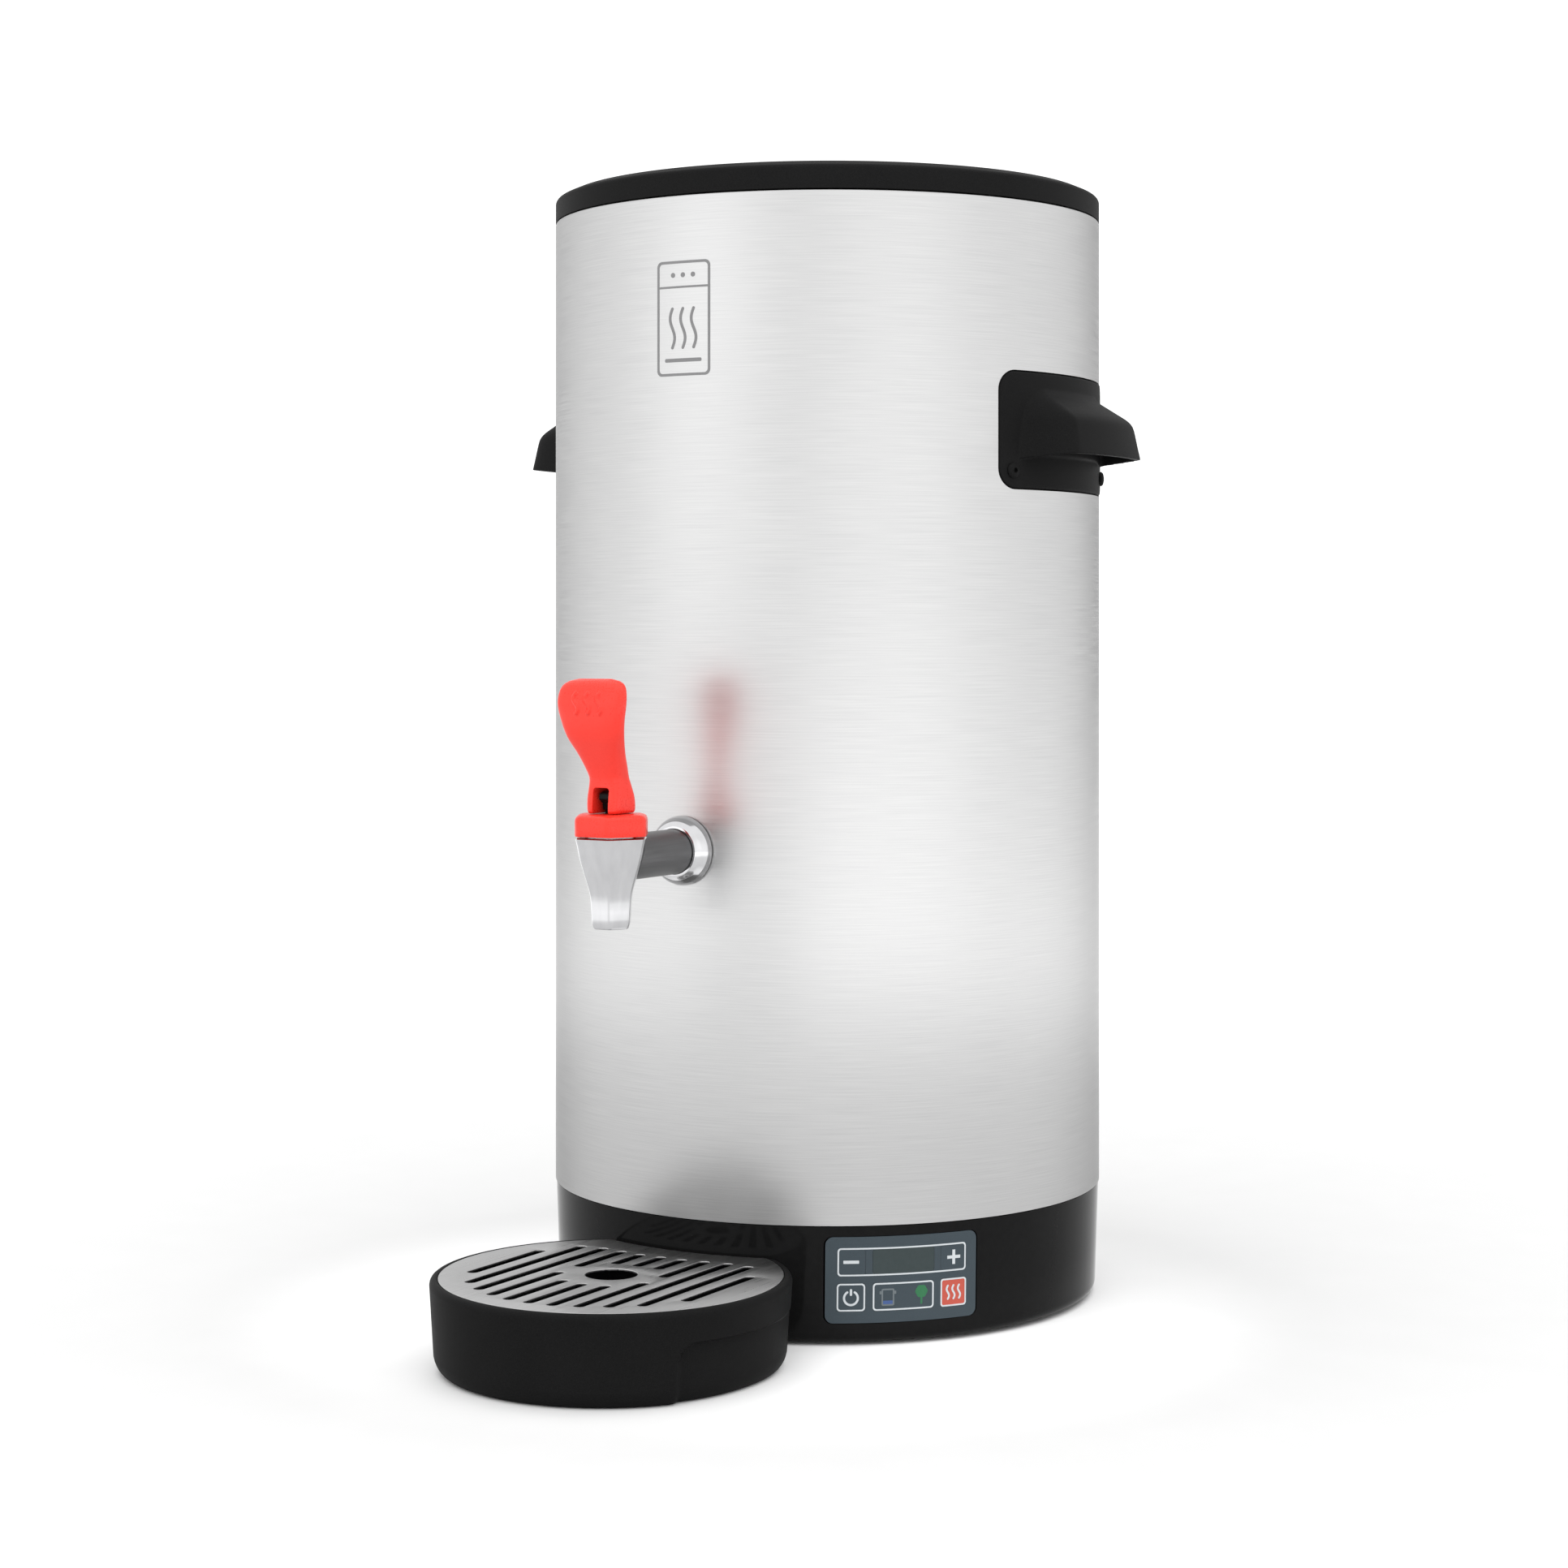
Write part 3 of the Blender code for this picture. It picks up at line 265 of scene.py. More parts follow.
def peg(radius, low, high, matrix, steps=48):
    """A plain cylinder, to cut a hole with."""
    return lathe("peg", [(0.0, high), (radius, high), (radius, low), (0.0, low)], steps=steps,
                 matrix=matrix)


def bored(radius, low, high, beta, z):
    """A cylinder that points outwards along a heading."""
    return peg(radius, low, high, aimed(beta, 0.0, z))


def skinned(rows, ring=False):
    """A bmesh over loops of points that all have the same count, and its loops."""
    shape = bmesh.new()
    loops = []
    for row in rows:
        loops.append([shape.verts.new(co) for co in row])
    pairs = list(zip(loops, loops[1:]))
    if ring:
        pairs.append((loops[-1], loops[0]))
    count = len(rows[0])
    for lower, upper in pairs:
        for i in range(count):
            j = (i + 1) % count
            shape.faces.new((lower[i], lower[j], upper[j], upper[i]))
    return shape, loops


def loft(name, sections, material=None, ring=False, smooth=35.0):
    """A skin over sections, capped unless it closes on itself."""
    shape, loops = skinned(sections, ring)
    if not ring:
        shape.faces.new(loops[0][::-1])
        shape.faces.new(loops[-1])
    return piece_from(shape, name, material, smooth)


def sheet_solid(name, rows):
    """A solid from rows of points, each row there and back again along a curved sheet."""
    shape, loops = skinned(rows)
    count = len(rows[0])
    for i in range(count // 2 - 1):
        across = count - 1 - i
        for loop in (loops[0], loops[-1]):
            shape.faces.new((loop[i], loop[i + 1], loop[across - 1], loop[across]))
    return piece_from(shape, name)


def from_curve(name, curve, material, smooth=35.0):
    source = bpy.data.objects.new(name + "_curve", curve)
    bpy.context.scene.collection.objects.link(source)
    mesh = evaluated_mesh(source)
    bpy.data.objects.remove(source)
    mesh.name = name
    shape = bmesh.new()
    shape.from_mesh(mesh)
    bmesh.ops.remove_doubles(shape, verts=shape.verts, dist=WELD)
    bmesh.ops.dissolve_degenerate(shape, edges=shape.edges, dist=WELD)
    bmesh.ops.recalc_face_normals(shape, faces=shape.faces)
    shape.to_mesh(mesh)
    shape.free()
    return link(name, mesh, material, smooth)


def polyline(curve, points):
    spline = curve.splines.new("POLY")
    spline.points.add(len(points) - 1)
    for point, co in zip(spline.points, points):
        point.co = (*co, 1.0)
    return spline


def slab(name, outlines, low, high, material=None, edge=0.0, edge_steps=2, smooth=35.0,
         place=None):
    """Flat outlines, the inner ones holes, filled from z low to z high, with rounded edges."""
    curve = bpy.data.curves.new(name, "CURVE")
    curve.dimensions = "2D"
    curve.fill_mode = "BOTH"
    curve.extrude = (high - low) / 2 - edge
    curve.bevel_depth = edge
    curve.bevel_resolution = edge_steps
    curve.offset = -edge
    for points in outlines:
        polyline(curve, [(x, y, 0.0) for x, y in points]).use_cyclic_u = True
    obj = from_curve(name, curve, material, smooth)
    obj.data.transform(Matrix.Translation((0.0, 0.0, (low + high) / 2)))
    if place:
        obj.data.transform(place)
    return obj


def tube(name, points, radius, material=None, resolution=6):
    curve = bpy.data.curves.new(name, "CURVE")
    curve.dimensions = "3D"
    curve.bevel_depth = radius
    curve.bevel_resolution = resolution
    curve.use_fill_caps = True
    polyline(curve, points)
    return from_curve(name, curve, material, 50.0)


def sliced(shape, low, high, every):
    """Cut a flat piece across at even steps, so that it can bend."""
    cuts = int((high - low) / every)
    for i in range(1, cuts):
        x = low + (high - low) * i / cuts
        bmesh.ops.bisect_plane(shape, geom=shape.verts[:] + shape.edges[:] + shape.faces[:],
                               dist=WELD / 10, plane_co=(x, 0.0, 0.0), plane_no=(1.0, 0.0, 0.0))


def wrap(obj, radius, beta):
    """Bend a flat piece (x across, y up, z outwards) round the body, whose wall is radius(z)."""
    shape = bmesh.new()
    shape.from_mesh(obj.data)
    xs = [v.co.x for v in shape.verts]
    sliced(shape, min(xs), max(xs), 0.002)
    for vertex in shape.verts:
        across, up, out = vertex.co
        spot = heading(beta + across / radius(up)) * (radius(up) + out)
        vertex.co = (spot.x, spot.y + AXIS_Y, up)
    shape.to_mesh(obj.data)
    shape.free()
    return obj


def bake(obj, smooth=35.0):
    """Apply an object's modifiers."""
    material = obj.data.materials[0] if obj.data.materials else None
    mesh = evaluated_mesh(obj)
    obj.modifiers.clear()
    obj.data = mesh
    dress(mesh, material, smooth)
    return obj


def combined(obj, operation, others, smooth=35.0):
    """Boolean an object with others, which are used up."""
    for other in others:
        modifier = obj.modifiers.new(other.name, "BOOLEAN")
        modifier.operation = operation
        modifier.solver = "EXACT"
        modifier.object = other
    bake(obj, smooth)
    for other in others:
        bpy.data.objects.remove(other)
    return obj


def melted(obj, voxel, rounds, smooth=60.0):
    """Remesh a solid and smooth it, which rounds its edges as a moulding's are."""
    remesh = obj.modifiers.new("remesh", "REMESH")
    remesh.mode = "VOXEL"
    remesh.voxel_size = voxel
    relax = obj.modifiers.new("relax", "SMOOTH")
    relax.factor = 0.5
    relax.iterations = rounds
    return bake(obj, smooth)


# ---- materials ----
def feed(made, inputs):
    """Link a node's inputs to sockets, or set them to constants."""
    for key, value in inputs.items():
        if isinstance(value, bpy.types.NodeSocket):
            made.id_data.links.new(value, made.inputs[key])
        else:
            made.inputs[key].default_value = value


def node(tree, kind, inputs=None, **settings):
    made = tree.nodes.new(kind)
    for key, value in settings.items():
        setattr(made, key, value)
    feed(made, inputs or {})
    return made


def noise(tree, coordinates, scale, detail=3.0, roughness=0.55):
    """Noise in metres: scale is how many features there are per metre along each axis."""
    mapping = node(tree, "ShaderNodeMapping", {"Vector": coordinates, "Scale": scale})
    texture = node(tree, "ShaderNodeTexNoise", {
        "Vector": mapping.outputs["Vector"], "Scale": 1.0, "Detail": detail,
        "Roughness": roughness})
    return texture.outputs["Fac"]


def remap(tree, value, low, high, source=(0.3, 0.7)):
    stretch = node(tree, "ShaderNodeMapRange", {
        "Value": value, "From Min": source[0], "From Max": source[1], "To Min": low,
        "To Max": high})
    return stretch.outputs["Result"]


def blended(tree, value, dark, light):
    """A colour between two, by a value."""
    mix = node(tree, "ShaderNodeMix", {"Factor": value}, data_type="RGBA")
    for socket in mix.inputs:
        if socket.type == "RGBA":
            socket.default_value = (*(dark if socket.name == "A" else light), 1.0)
    return [o for o in mix.outputs if o.type == "RGBA"][0]


def surface(name, dark, light, rough, grain, metallic=0.0, specular=0.5, use_uv=False,
            bump=0.0, depth=0.0001, anisotropy=0.0, cloud=14.0, cloud_share=0.35, detail=3.0,
            edge_tint=1.0):
    """A procedural finish: fine grain over slow clouds drives colour and roughness, and the
    grain alone the relief.

    A colour may be one number for a grey, and the grain one number if it is the same all ways."""
    dark, light, grain = (each if isinstance(each, tuple) else (each,) * 3
                          for each in (dark, light, grain))
    material = bpy.data.materials.new(name)
    material.use_nodes = True
    tree = material.node_tree
    shader = tree.nodes["Principled BSDF"]
    source = node(tree, "ShaderNodeTexCoord").outputs["UV" if use_uv else "Object"]
    fine = noise(tree, source, grain, detail)
    slow = noise(tree, source, (cloud, cloud, cloud), 2.0)
    both = node(tree, "ShaderNodeMix", {"Factor": cloud_share, "A": fine, "B": slow})
    both = both.outputs["Result"]
    feed(shader, {
        "Base Color": blended(tree, remap(tree, both, 0.0, 1.0), dark, light),
        "Roughness": remap(tree, both, rough[0], rough[1]), "Metallic": metallic,
        "Specular IOR Level": specular, "Specular Tint": (edge_tint, edge_tint, edge_tint, 1.0)})
    if anisotropy:
        tangent = node(tree, "ShaderNodeTangent", direction_type="UV_MAP", uv_map="metres")
        feed(shader, {"Tangent": tangent.outputs["Tangent"], "Anisotropic": anisotropy})
    if bump:
        relief = node(tree, "ShaderNodeBump", {"Strength": bump, "Distance": depth, "Height": fine})
        feed(shader, {"Normal": relief.outputs["Normal"]})
    return material


def ink(name, dark, light, rough=(0.4, 0.55), specular=0.2):
    return surface(name, dark, light, rough, 1800.0, specular=specular, bump=0.12)


BRUSHED = surface("brushed_steel_body", (0.505, 0.505, 0.507), (0.582, 0.582, 0.58), (0.29, 0.38),
    (26.0, 1700.0, 1.0), metallic=1.0, use_uv=True, bump=0.09, depth=0.00004, anisotropy=0.65,
    cloud_share=0.12, edge_tint=0.5)
TANK_STEEL = surface("plain_steel", 0.46, (0.56, 0.56, 0.55), (0.22, 0.36), (20.0, 700.0, 1.0),
    metallic=1.0, use_uv=True, bump=0.08, depth=0.00004, cloud_share=0.4)
SHEET_STEEL = surface("sheet_steel", 0.44, (0.56, 0.56, 0.55), (0.26, 0.4), (900.0, 60.0, 60.0),
    metallic=1.0, bump=0.08, depth=0.00004, cloud_share=0.4)
GRID_STEEL = surface("grid_steel", 0.4, 0.52, (0.25, 0.38), (1400.0, 30.0, 30.0), metallic=1.0,
    bump=0.1, depth=0.00004, cloud_share=0.25)
ZINC = surface("zinc_plate", (0.36, 0.37, 0.38), (0.55, 0.56, 0.56), (0.32, 0.55), 160.0,
    metallic=1.0, bump=0.05, cloud=40.0, cloud_share=0.5)
SHANK_GREY = surface("dark_satin_metal", (0.125, 0.125, 0.128), (0.175, 0.175, 0.178), (0.3, 0.42),
    (1200.0, 40.0, 1200.0), metallic=1.0, bump=0.1, depth=0.00004)
CHROME = surface("satin_chrome", (0.5, 0.5, 0.51), (0.58, 0.58, 0.59), (0.09, 0.15),
    (240.0, 240.0, 60.0), metallic=1.0, bump=0.04, depth=0.00005)
POLISHED = surface("polished_chrome", (0.55, 0.55, 0.56), (0.62, 0.62, 0.63), (0.06, 0.11), 150.0,
    metallic=1.0, bump=0.02, depth=0.00005)
BRASS = surface("machined_brass", (0.44, 0.31, 0.12), (0.56, 0.42, 0.18), (0.24, 0.38), 500.0,
    metallic=1.0, bump=0.06)
GLOSS_BLACK = surface("gloss_black", (0.0058, 0.0058, 0.0059), (0.0078, 0.0078, 0.0079),
    (0.05, 0.1), 300.0, specular=0.06, bump=0.015)
MATTE_BLACK = surface("textured_black", (0.0055, 0.0055, 0.0056), (0.0105, 0.0105, 0.0106),
    (0.45, 0.62), 2100.0, specular=0.03, bump=0.55, depth=0.00012, detail=2.0, cloud=30.0,
    cloud_share=0.2)
RED = surface("satin_red", (0.7, 0.027, 0.016), (0.76, 0.036, 0.022), (0.24, 0.34), 900.0,
    specular=0.3, bump=0.06, cloud_share=0.5)
SLATE = surface("slate_overlay", (0.036, 0.049, 0.058), (0.041, 0.056, 0.067), (0.38, 0.5), 1500.0,
    specular=0.2, bump=0.1)
KEY_RED = surface("key_red", (0.4, 0.072, 0.05), (0.45, 0.082, 0.057), (0.38, 0.5), 1500.0,
    specular=0.2, bump=0.1)
DARK_WINDOW = surface("dark_window", (0.032, 0.044, 0.045), (0.036, 0.048, 0.05), (0.18, 0.26),
    400.0, specular=0.2, bump=0.01)
WHITE_INK = ink("white_ink", (0.46, 0.49, 0.51), (0.53, 0.56, 0.58), (0.45, 0.6))
GREY_INK = ink("grey_ink", (0.15, 0.15, 0.152), (0.185, 0.185, 0.187), specular=0.3)
GREEN_INK = ink("green_ink", (0.026, 0.128, 0.055), (0.032, 0.15, 0.065))
BLUE_INK = ink("blue_ink", (0.045, 0.08, 0.2), (0.055, 0.095, 0.235))
LEVEL_INK = ink("level_ink", (0.11, 0.13, 0.14), (0.13, 0.15, 0.16))
RUBBER = surface("black_rubber", 0.012, (0.024, 0.024, 0.023), (0.7, 0.9), 1500.0, specular=0.25,
    bump=0.3)
SILICONE = surface("pale_silicone", (0.52, 0.51, 0.47), (0.62, 0.61, 0.57), (0.45, 0.62), 700.0,
    specular=0.35, bump=0.08)
FELT = surface("insulating_felt", (0.24, 0.22, 0.18), (0.46, 0.43, 0.37), (0.9, 1.0),
    (900.0, 900.0, 300.0), specular=0.1, bump=0.6, depth=0.0004, detail=5.0)
BOARD = surface("circuit_board", (0.01, 0.07, 0.028), (0.02, 0.12, 0.05), (0.3, 0.5), 420.0,
    specular=0.4, bump=0.1)

LOOKS = {"jacket_steel": BRUSHED, "tank_steel": SHEET_STEEL, "grid_steel": GRID_STEEL,
         "zinc_plate": ZINC, "dark_steel": SHANK_GREY, "tap_chrome": CHROME, "brass": BRASS,
         "gloss_black": GLOSS_BLACK, "textured_black": MATTE_BLACK, "tap_red": RED,
         "panel_slate": SLATE, "key_red": KEY_RED, "dark_window": DARK_WINDOW,
         "rubber": RUBBER, "silicone": SILICONE, "foam": FELT, "board": BOARD}

for subpart in frame["record"]["subparts"]:
    carried = frame["nodes"][subpart["node"]]
    carried.data.materials.clear()
    carried.data.materials.append(LOOKS[subpart["material_slot"]])


def stands_for(obj, cad_node, body="root"):
    """Ride a new piece on a body in place of a CAD node."""
    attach(obj, body)
    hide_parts(cad_node)
    return obj


# ---- casing ----
HANDLE_LOW = 0.4357
HANDLE_HIGH = 0.4961
HANDLE_HALF = 0.0618


def make_jacket():
    wall = 0.001
    inner = BODY_R - wall
    top = JACKET_HIGH.z
    bottom = JACKET_LOW.z
    rings = [HANDLE_HIGH + 0.004, HANDLE_LOW - 0.004, SHANK_Z + 0.013, SHANK_Z - 0.013]
    profile = fillet([(BODY_R, top, 0.0009)] + [(BODY_R, z) for z in rings]
                     + [(BODY_R, bottom, 0.0003), (inner, bottom, 0.0003), (inner, top - wall),
                        (0.146, top - wall, 0.0003), (0.146, top, 0.0003)], 5)
    jacket = lathe("jacket", profile, BRUSHED, steps=288, ring=True)
    cutters = []
    for beta in (QUARTER, -QUARTER):
        margin = 0.0007
        outline = rounded_box(HANDLE_HALF + margin, HANDLE_LOW - margin, HANDLE_HIGH + margin,
                              0.0107, 10)
        cutters.append(slab("window", [outline], -0.04, 0.04, place=aimed(beta, BODY_R, 0.0)))
    cutters.append(bored(SHANK_HOLE_R, 0.12, 0.17, 0.0, SHANK_Z))
    stands_for(combined(jacket, "DIFFERENCE", cutters), "outer_jacket")


def make_lid():
    low, top = span("lid")
    rest = JACKET_HIGH.z + 0.0005
    plug = 0.13
    profile = fillet([
        (0.0, top), (0.1428, top, 0.004), (BODY_R, top - 0.0031, 0.0026),
        (BODY_R, rest, 0.0004), (0.147, rest, 0.0003), (0.147, 0.5965, 0.0004),
        (plug, 0.5965, 0.0004), (plug, 0.5778), (0.1285, 0.5778), (0.1285, 0.5742),
        (plug, 0.5742), (plug, low, 0.0004), (0.1275, low, 0.0004), (0.1275, 0.5975),
        (0.0, 0.5975)], 8)
    stands_for(lathe("lid_moulding", profile, MATTE_BLACK, steps=288), "lid", "lid")
    seal = fillet([(0.1304, 0.5775, 0.0003), (0.1304, 0.5745, 0.0003), (0.1294, 0.5745),
                   (0.1294, 0.5775)], 3)
    stands_for(lathe("lid_seal_ring", seal, SILICONE, ring=True), "lid_seal", "lid")
    liner = [(0.0, 0.5743), (0.1262, 0.5743), (0.1262, 0.58), (0.127, 0.58),
             (0.127, 0.5735), (0.0, 0.5735)]
    stands_for(lathe("lid_inner_skin", liner, TANK_STEEL), "lid_liner", "lid")


def base_radius(z):
    """Outside radius of the base on its tapered side."""
    rise = (z - 0.0075) / (BASE_TOP - 0.0075)
    return 0.1478 + 0.0017 * rise


PANEL_BETA = math.radians(44.65)
PANEL_HALF = 0.0404
PANEL_LOW = 0.0118
PANEL_HIGH = 0.0557
INLET_Z = 0.03
GLAND_BETA = math.radians(160.0)
FOOT_REACH = 0.105         # from the body's axis


def make_base():
    lip = BODY_R - 0.001 - 0.0006
    profile = fillet([
        (lip, 0.066, 0.0003), (lip, BASE_TOP), (0.1495, BASE_TOP, 0.0004),
        (0.1478, 0.0075), (0.1476, 0.0015, 0.0054), (0.139, 0.0015, 0.0004),
        (0.139, 0.0045), (0.131, 0.0045), (0.131, 0.0075),
        (0.145, 0.0075), (0.145, 0.058), (0.1, 0.058),
        (0.1, BASE_TOP), (0.1462, BASE_TOP), (0.1462, 0.066)], 8)
    base = lathe("base_moulding", profile, GLOSS_BLACK, steps=288, ring=True)
    margin = 0.0003
    outline = rounded_box(PANEL_HALF + margin, PANEL_LOW - margin, PANEL_HIGH + margin, 0.0045, 8)
    window = slab("panel_window", [outline], -0.015, 0.015, place=aimed(PANEL_BETA, BODY_R, 0.0))
    cutters = [window, bored(0.0128, 0.13, 0.16, math.pi, INLET_Z),
               bored(0.0082, 0.13, 0.16, GLAND_BETA, INLET_Z)]
    stands_for(combined(base, "DIFFERENCE", cutters), "base_housing")
    for i in range(4):
        profile = fillet([(0.0, 0.0075), (0.0052, 0.0075, 0.0008), (0.0055, 0.0045),
                          (0.004, 0.0045), (0.004, 0.0029), (0.012, 0.0029, 0.0004),
                          (0.012, 0.0, 0.0007), (0.0095, 0.0, 0.0002), (0.0092, 0.0005),
                          (0.0075, 0.0005), (0.0072, 0.0, 0.0002), (0.0, 0.0)], 3)
        spot = heading(QUARTER * (i + 0.5)) * FOOT_REACH + Vector((0, AXIS_Y, 0))
        foot = lathe(f"rubber_foot_{i + 1}", profile, RUBBER, steps=64,
                     matrix=Matrix.Translation(spot))
        stands_for(foot, f"foot_{i + 1}")


def make_tank():
    radius = 0.132
    wall = 0.0012
    low, top = span("inner_tank")
    inner = radius - wall
    floor = low + wall
    profile = fillet([
        (0.0, floor), (inner, floor, 0.0048), (inner, top, 0.0006), (0.1478, top, 0.0004),
        (0.1478, top - wall), (radius, top - wall), (radius, low, 0.006),
        (0.0, low)], 6)
    tank = lathe("tank_shell", profile, TANK_STEEL, steps=192)
    cutters = [bored(SHANK_HOLE_R, 0.11, 0.16, 0.0, SHANK_Z)]
    for x, y, size in ((0.018, -0.075, 0.0045), (-0.018, -0.075, 0.0045), (0.055, -0.085, 0.0034),
                       (-0.089, 0.058, 0.0034), (0.0, 0.088, 0.004)):
        place = Matrix.Translation((x, AXIS_Y + y, 0.0))
        cutters.append(peg(size, low - 0.006, low + 0.006, place, 32))
    stands_for(combined(tank, "DIFFERENCE", cutters), "inner_tank")
    z0, z1 = span("rim_ring")
    profile = fillet([(0.1484, z1, 0.0005), (0.1484, z0, 0.0004), (0.1314, z0, 0.0004),
                      (0.1314, z1, 0.0008)], 4)
    stands_for(lathe("tank_rim_ring", profile, MATTE_BLACK, ring=True), "rim_ring")


def make_element():
    """Sheathed heater: a ring low in the tank on two legs, with round bends."""
    ring = 0.075
    leg_x = 0.018
    low, _ = span("inner_tank")
    ring_z = low + 0.018
    start = math.asin(leg_x / ring)
    points = []
    count = 90
    for i in range(count + 1):
        beta = start + 0.14 + (2 * math.pi - 2 * start - 0.28) * i / count
        points.append((*(heading(beta) * ring).xy, ring_z))
    legs = []
    for side in (1.0, -1.0):
        x = side * leg_x
        end = Vector(points[0] if side > 0 else points[-1])
        bottom = Vector((x, -ring, low - 0.015))
        knee = Vector((x, -ring, ring_z - 0.01))
        leg = [tuple(bottom), tuple(knee)]
        for step in range(1, 8):
            t = step / 8
            pull = Vector((x, -ring, ring_z))
            spot = knee * (1 - t) ** 2 + pull * 2 * t * (1 - t) + end * t ** 2
            leg.append(tuple(spot))
        legs.append(leg)
    path = [(x, y + AXIS_Y, z) for x, y, z in legs[0] + points + legs[1][::-1]]
    stands_for(tube("heater_tube", path, 0.004, SHANK_GREY), "heating_element")


# ---- carrying handles ----
def curved_plate(name, outer, inner, half, low, high, corner):
    """A plate with round corners that follows the body's wall."""
    plate = slab(name, [rounded_box(half, low, high, corner, 10)], 0.0, outer - inner)
    shape = bmesh.new()
    shape.from_mesh(plate.data)
    sliced(shape, -half, half, 0.0015)
    for vertex in shape.verts:
        beta = math.asin(vertex.co.x / BODY_R)
        spot = heading(QUARTER + beta) * (inner + vertex.co.z)
        vertex.co = (spot.x, spot.y, vertex.co.y)
    shape.to_mesh(plate.data)
    shape.free()
    return plate


HOOD_PROFILE = [          # height, and how far the grip stands out of its plate there
    (0.4534, 0.0253), (0.4600, 0.0239), (0.4660, 0.0227), (0.4695, 0.0219), (0.4715, 0.0211),
    (0.4732, 0.0198), (0.4750, 0.0177), (0.4780, 0.0130), (0.4810, 0.0083), (0.4832, 0.0048),
    (0.4850, 0.0023), (0.4890, -0.0008)]
HOOD_RIM = HOOD_PROFILE[0][0]
HOOD_SHOULDER = math.radians(12.5)    # either side of the grip's middle, it starts to fall back
HOOD_END = math.radians(20.5)         # and has reached the plate here
HOOD_NARROWING = math.radians(2.0)    # how much sooner at the top
HOOD_DROP = 0.0026                    # how far the rim comes down at its ends
HOOD_WALL = 0.0032
PLATE_OUT_R = 0.1506
SCREW_TURN = math.radians(21.0)       # either side of the grip's middle
SCREW_Z = 0.4447


def hood_share(turn, z):
    """How much of the grip's reach is left at an angle from its middle."""
    rise = (z - HOOD_RIM) / (HOOD_PROFILE[-1][0] - HOOD_RIM)
    end = HOOD_END - HOOD_NARROWING * rise
    shoulder = HOOD_SHOULDER - HOOD_NARROWING * rise / 2
    return 1.0 - ease(abs(turn), shoulder, end)


def hood_radius(turn, z, out):
    """Distance from the body's axis to the grip's outside; its ends are sunk in the plate."""
    root = 0.001
    return PLATE_OUT_R - root + (out + root) * hood_share(turn, z)


def hood_row(z, out, inset, inner_r, thinnest):
    """Points along the grip's outside at a height and back along an inner radius."""
    steps = 90
    end = HOOD_END
    while hood_radius(end, z, out) - inset < inner_r + thinnest:
        end -= math.radians(0.05)
    there = []
    back = []
    for i in range(steps + 1):
        turn = end * (2 * i / steps - 1)
        level = z - HOOD_DROP * (1 - hood_share(turn, z))
        direction = heading(QUARTER + turn)
        there.append((*(direction * (hood_radius(turn, z, out) - inset)).xy, level))
        back.append((*(direction * inner_r).xy, level))
    return there + back[::-1]


def hood_levels():
    levels = []
    count = 42
    for i in range(count + 1):
        z = HOOD_RIM + (HOOD_PROFILE[-1][0] - HOOD_RIM) * i / count
        levels.append(between(HOOD_PROFILE, z))
    return levels


def make_hood():
    """The grip: a hood that is swept out of the plate and slopes back to it at the top."""
    return sheet_solid("hood", [hood_row(z, out, 0.0, 0.1482, 0.0) for z, out in hood_levels()])


def make_finger_space():
    """The hollow under the grip, open at the bottom, one wall thickness within it."""
    rows = []
    for z, out in hood_levels():
        if out > 2 * HOOD_WALL:
            row = hood_row(z, out, HOOD_WALL, PLATE_OUT_R + 0.0006, 0.002)
            rows.append([(x, y, level - 0.0015) for x, y, level in row])
    below = [(x, y, HOOD_RIM - 0.03) for x, y, _ in rows[0]]
    return sheet_solid("finger_space", [below, *rows])


def make_handles():
    plate = curved_plate("handle_shape", PLATE_OUT_R, 0.146, HANDLE_HALF, HANDLE_LOW, HANDLE_HIGH,
                         0.01)
    flange = curved_plate("flange", 0.1486, 0.1458, HANDLE_HALF + 0.0035, HANDLE_LOW - 0.0035,
                          HANDLE_HIGH + 0.0035, 0.0135)
    combined(plate, "UNION", [flange, make_hood()])
    combined(plate, "DIFFERENCE", [make_finger_space()])
    melted(plate, 0.0006, 3)
    for name, cad, turn in (("grip_moulding_right", "handle_right", 0.0),
                            ("grip_moulding_left", "handle_left", math.pi)):
        mesh = plate.data.copy()
        mesh.transform(Matrix.Translation((0.0, AXIS_Y, 0.0)) @ Matrix.Rotation(turn, 4, "Z"))
        stands_for(link(name, mesh, MATTE_BLACK, 60.0), cad)
    bpy.data.objects.remove(plate)
    number = 0
    for side in (QUARTER, -QUARTER):
        for offset in (-SCREW_TURN, SCREW_TURN):
            number += 1
            place = aimed(side + offset, 0.0, SCREW_Z)
            head = fillet([(0.0, 0.1529), (0.0012, 0.1529), (0.0032, 0.1524, 0.0015),
                           (0.0043, 0.1509, 0.0003), (0.0018, 0.1509), (0.0018, 0.1424),
                           (0.0, 0.142)], 5)
            screw = lathe(f"dome_screw_{number}", head, MATTE_BLACK, steps=48, matrix=place)
            socket = slab("socket", [circle(0.00145, 6)], 0.1512, 0.154, place=place)
            combined(screw, "DIFFERENCE", [socket])
            stands_for(screw, f"handle_screw_{number}")


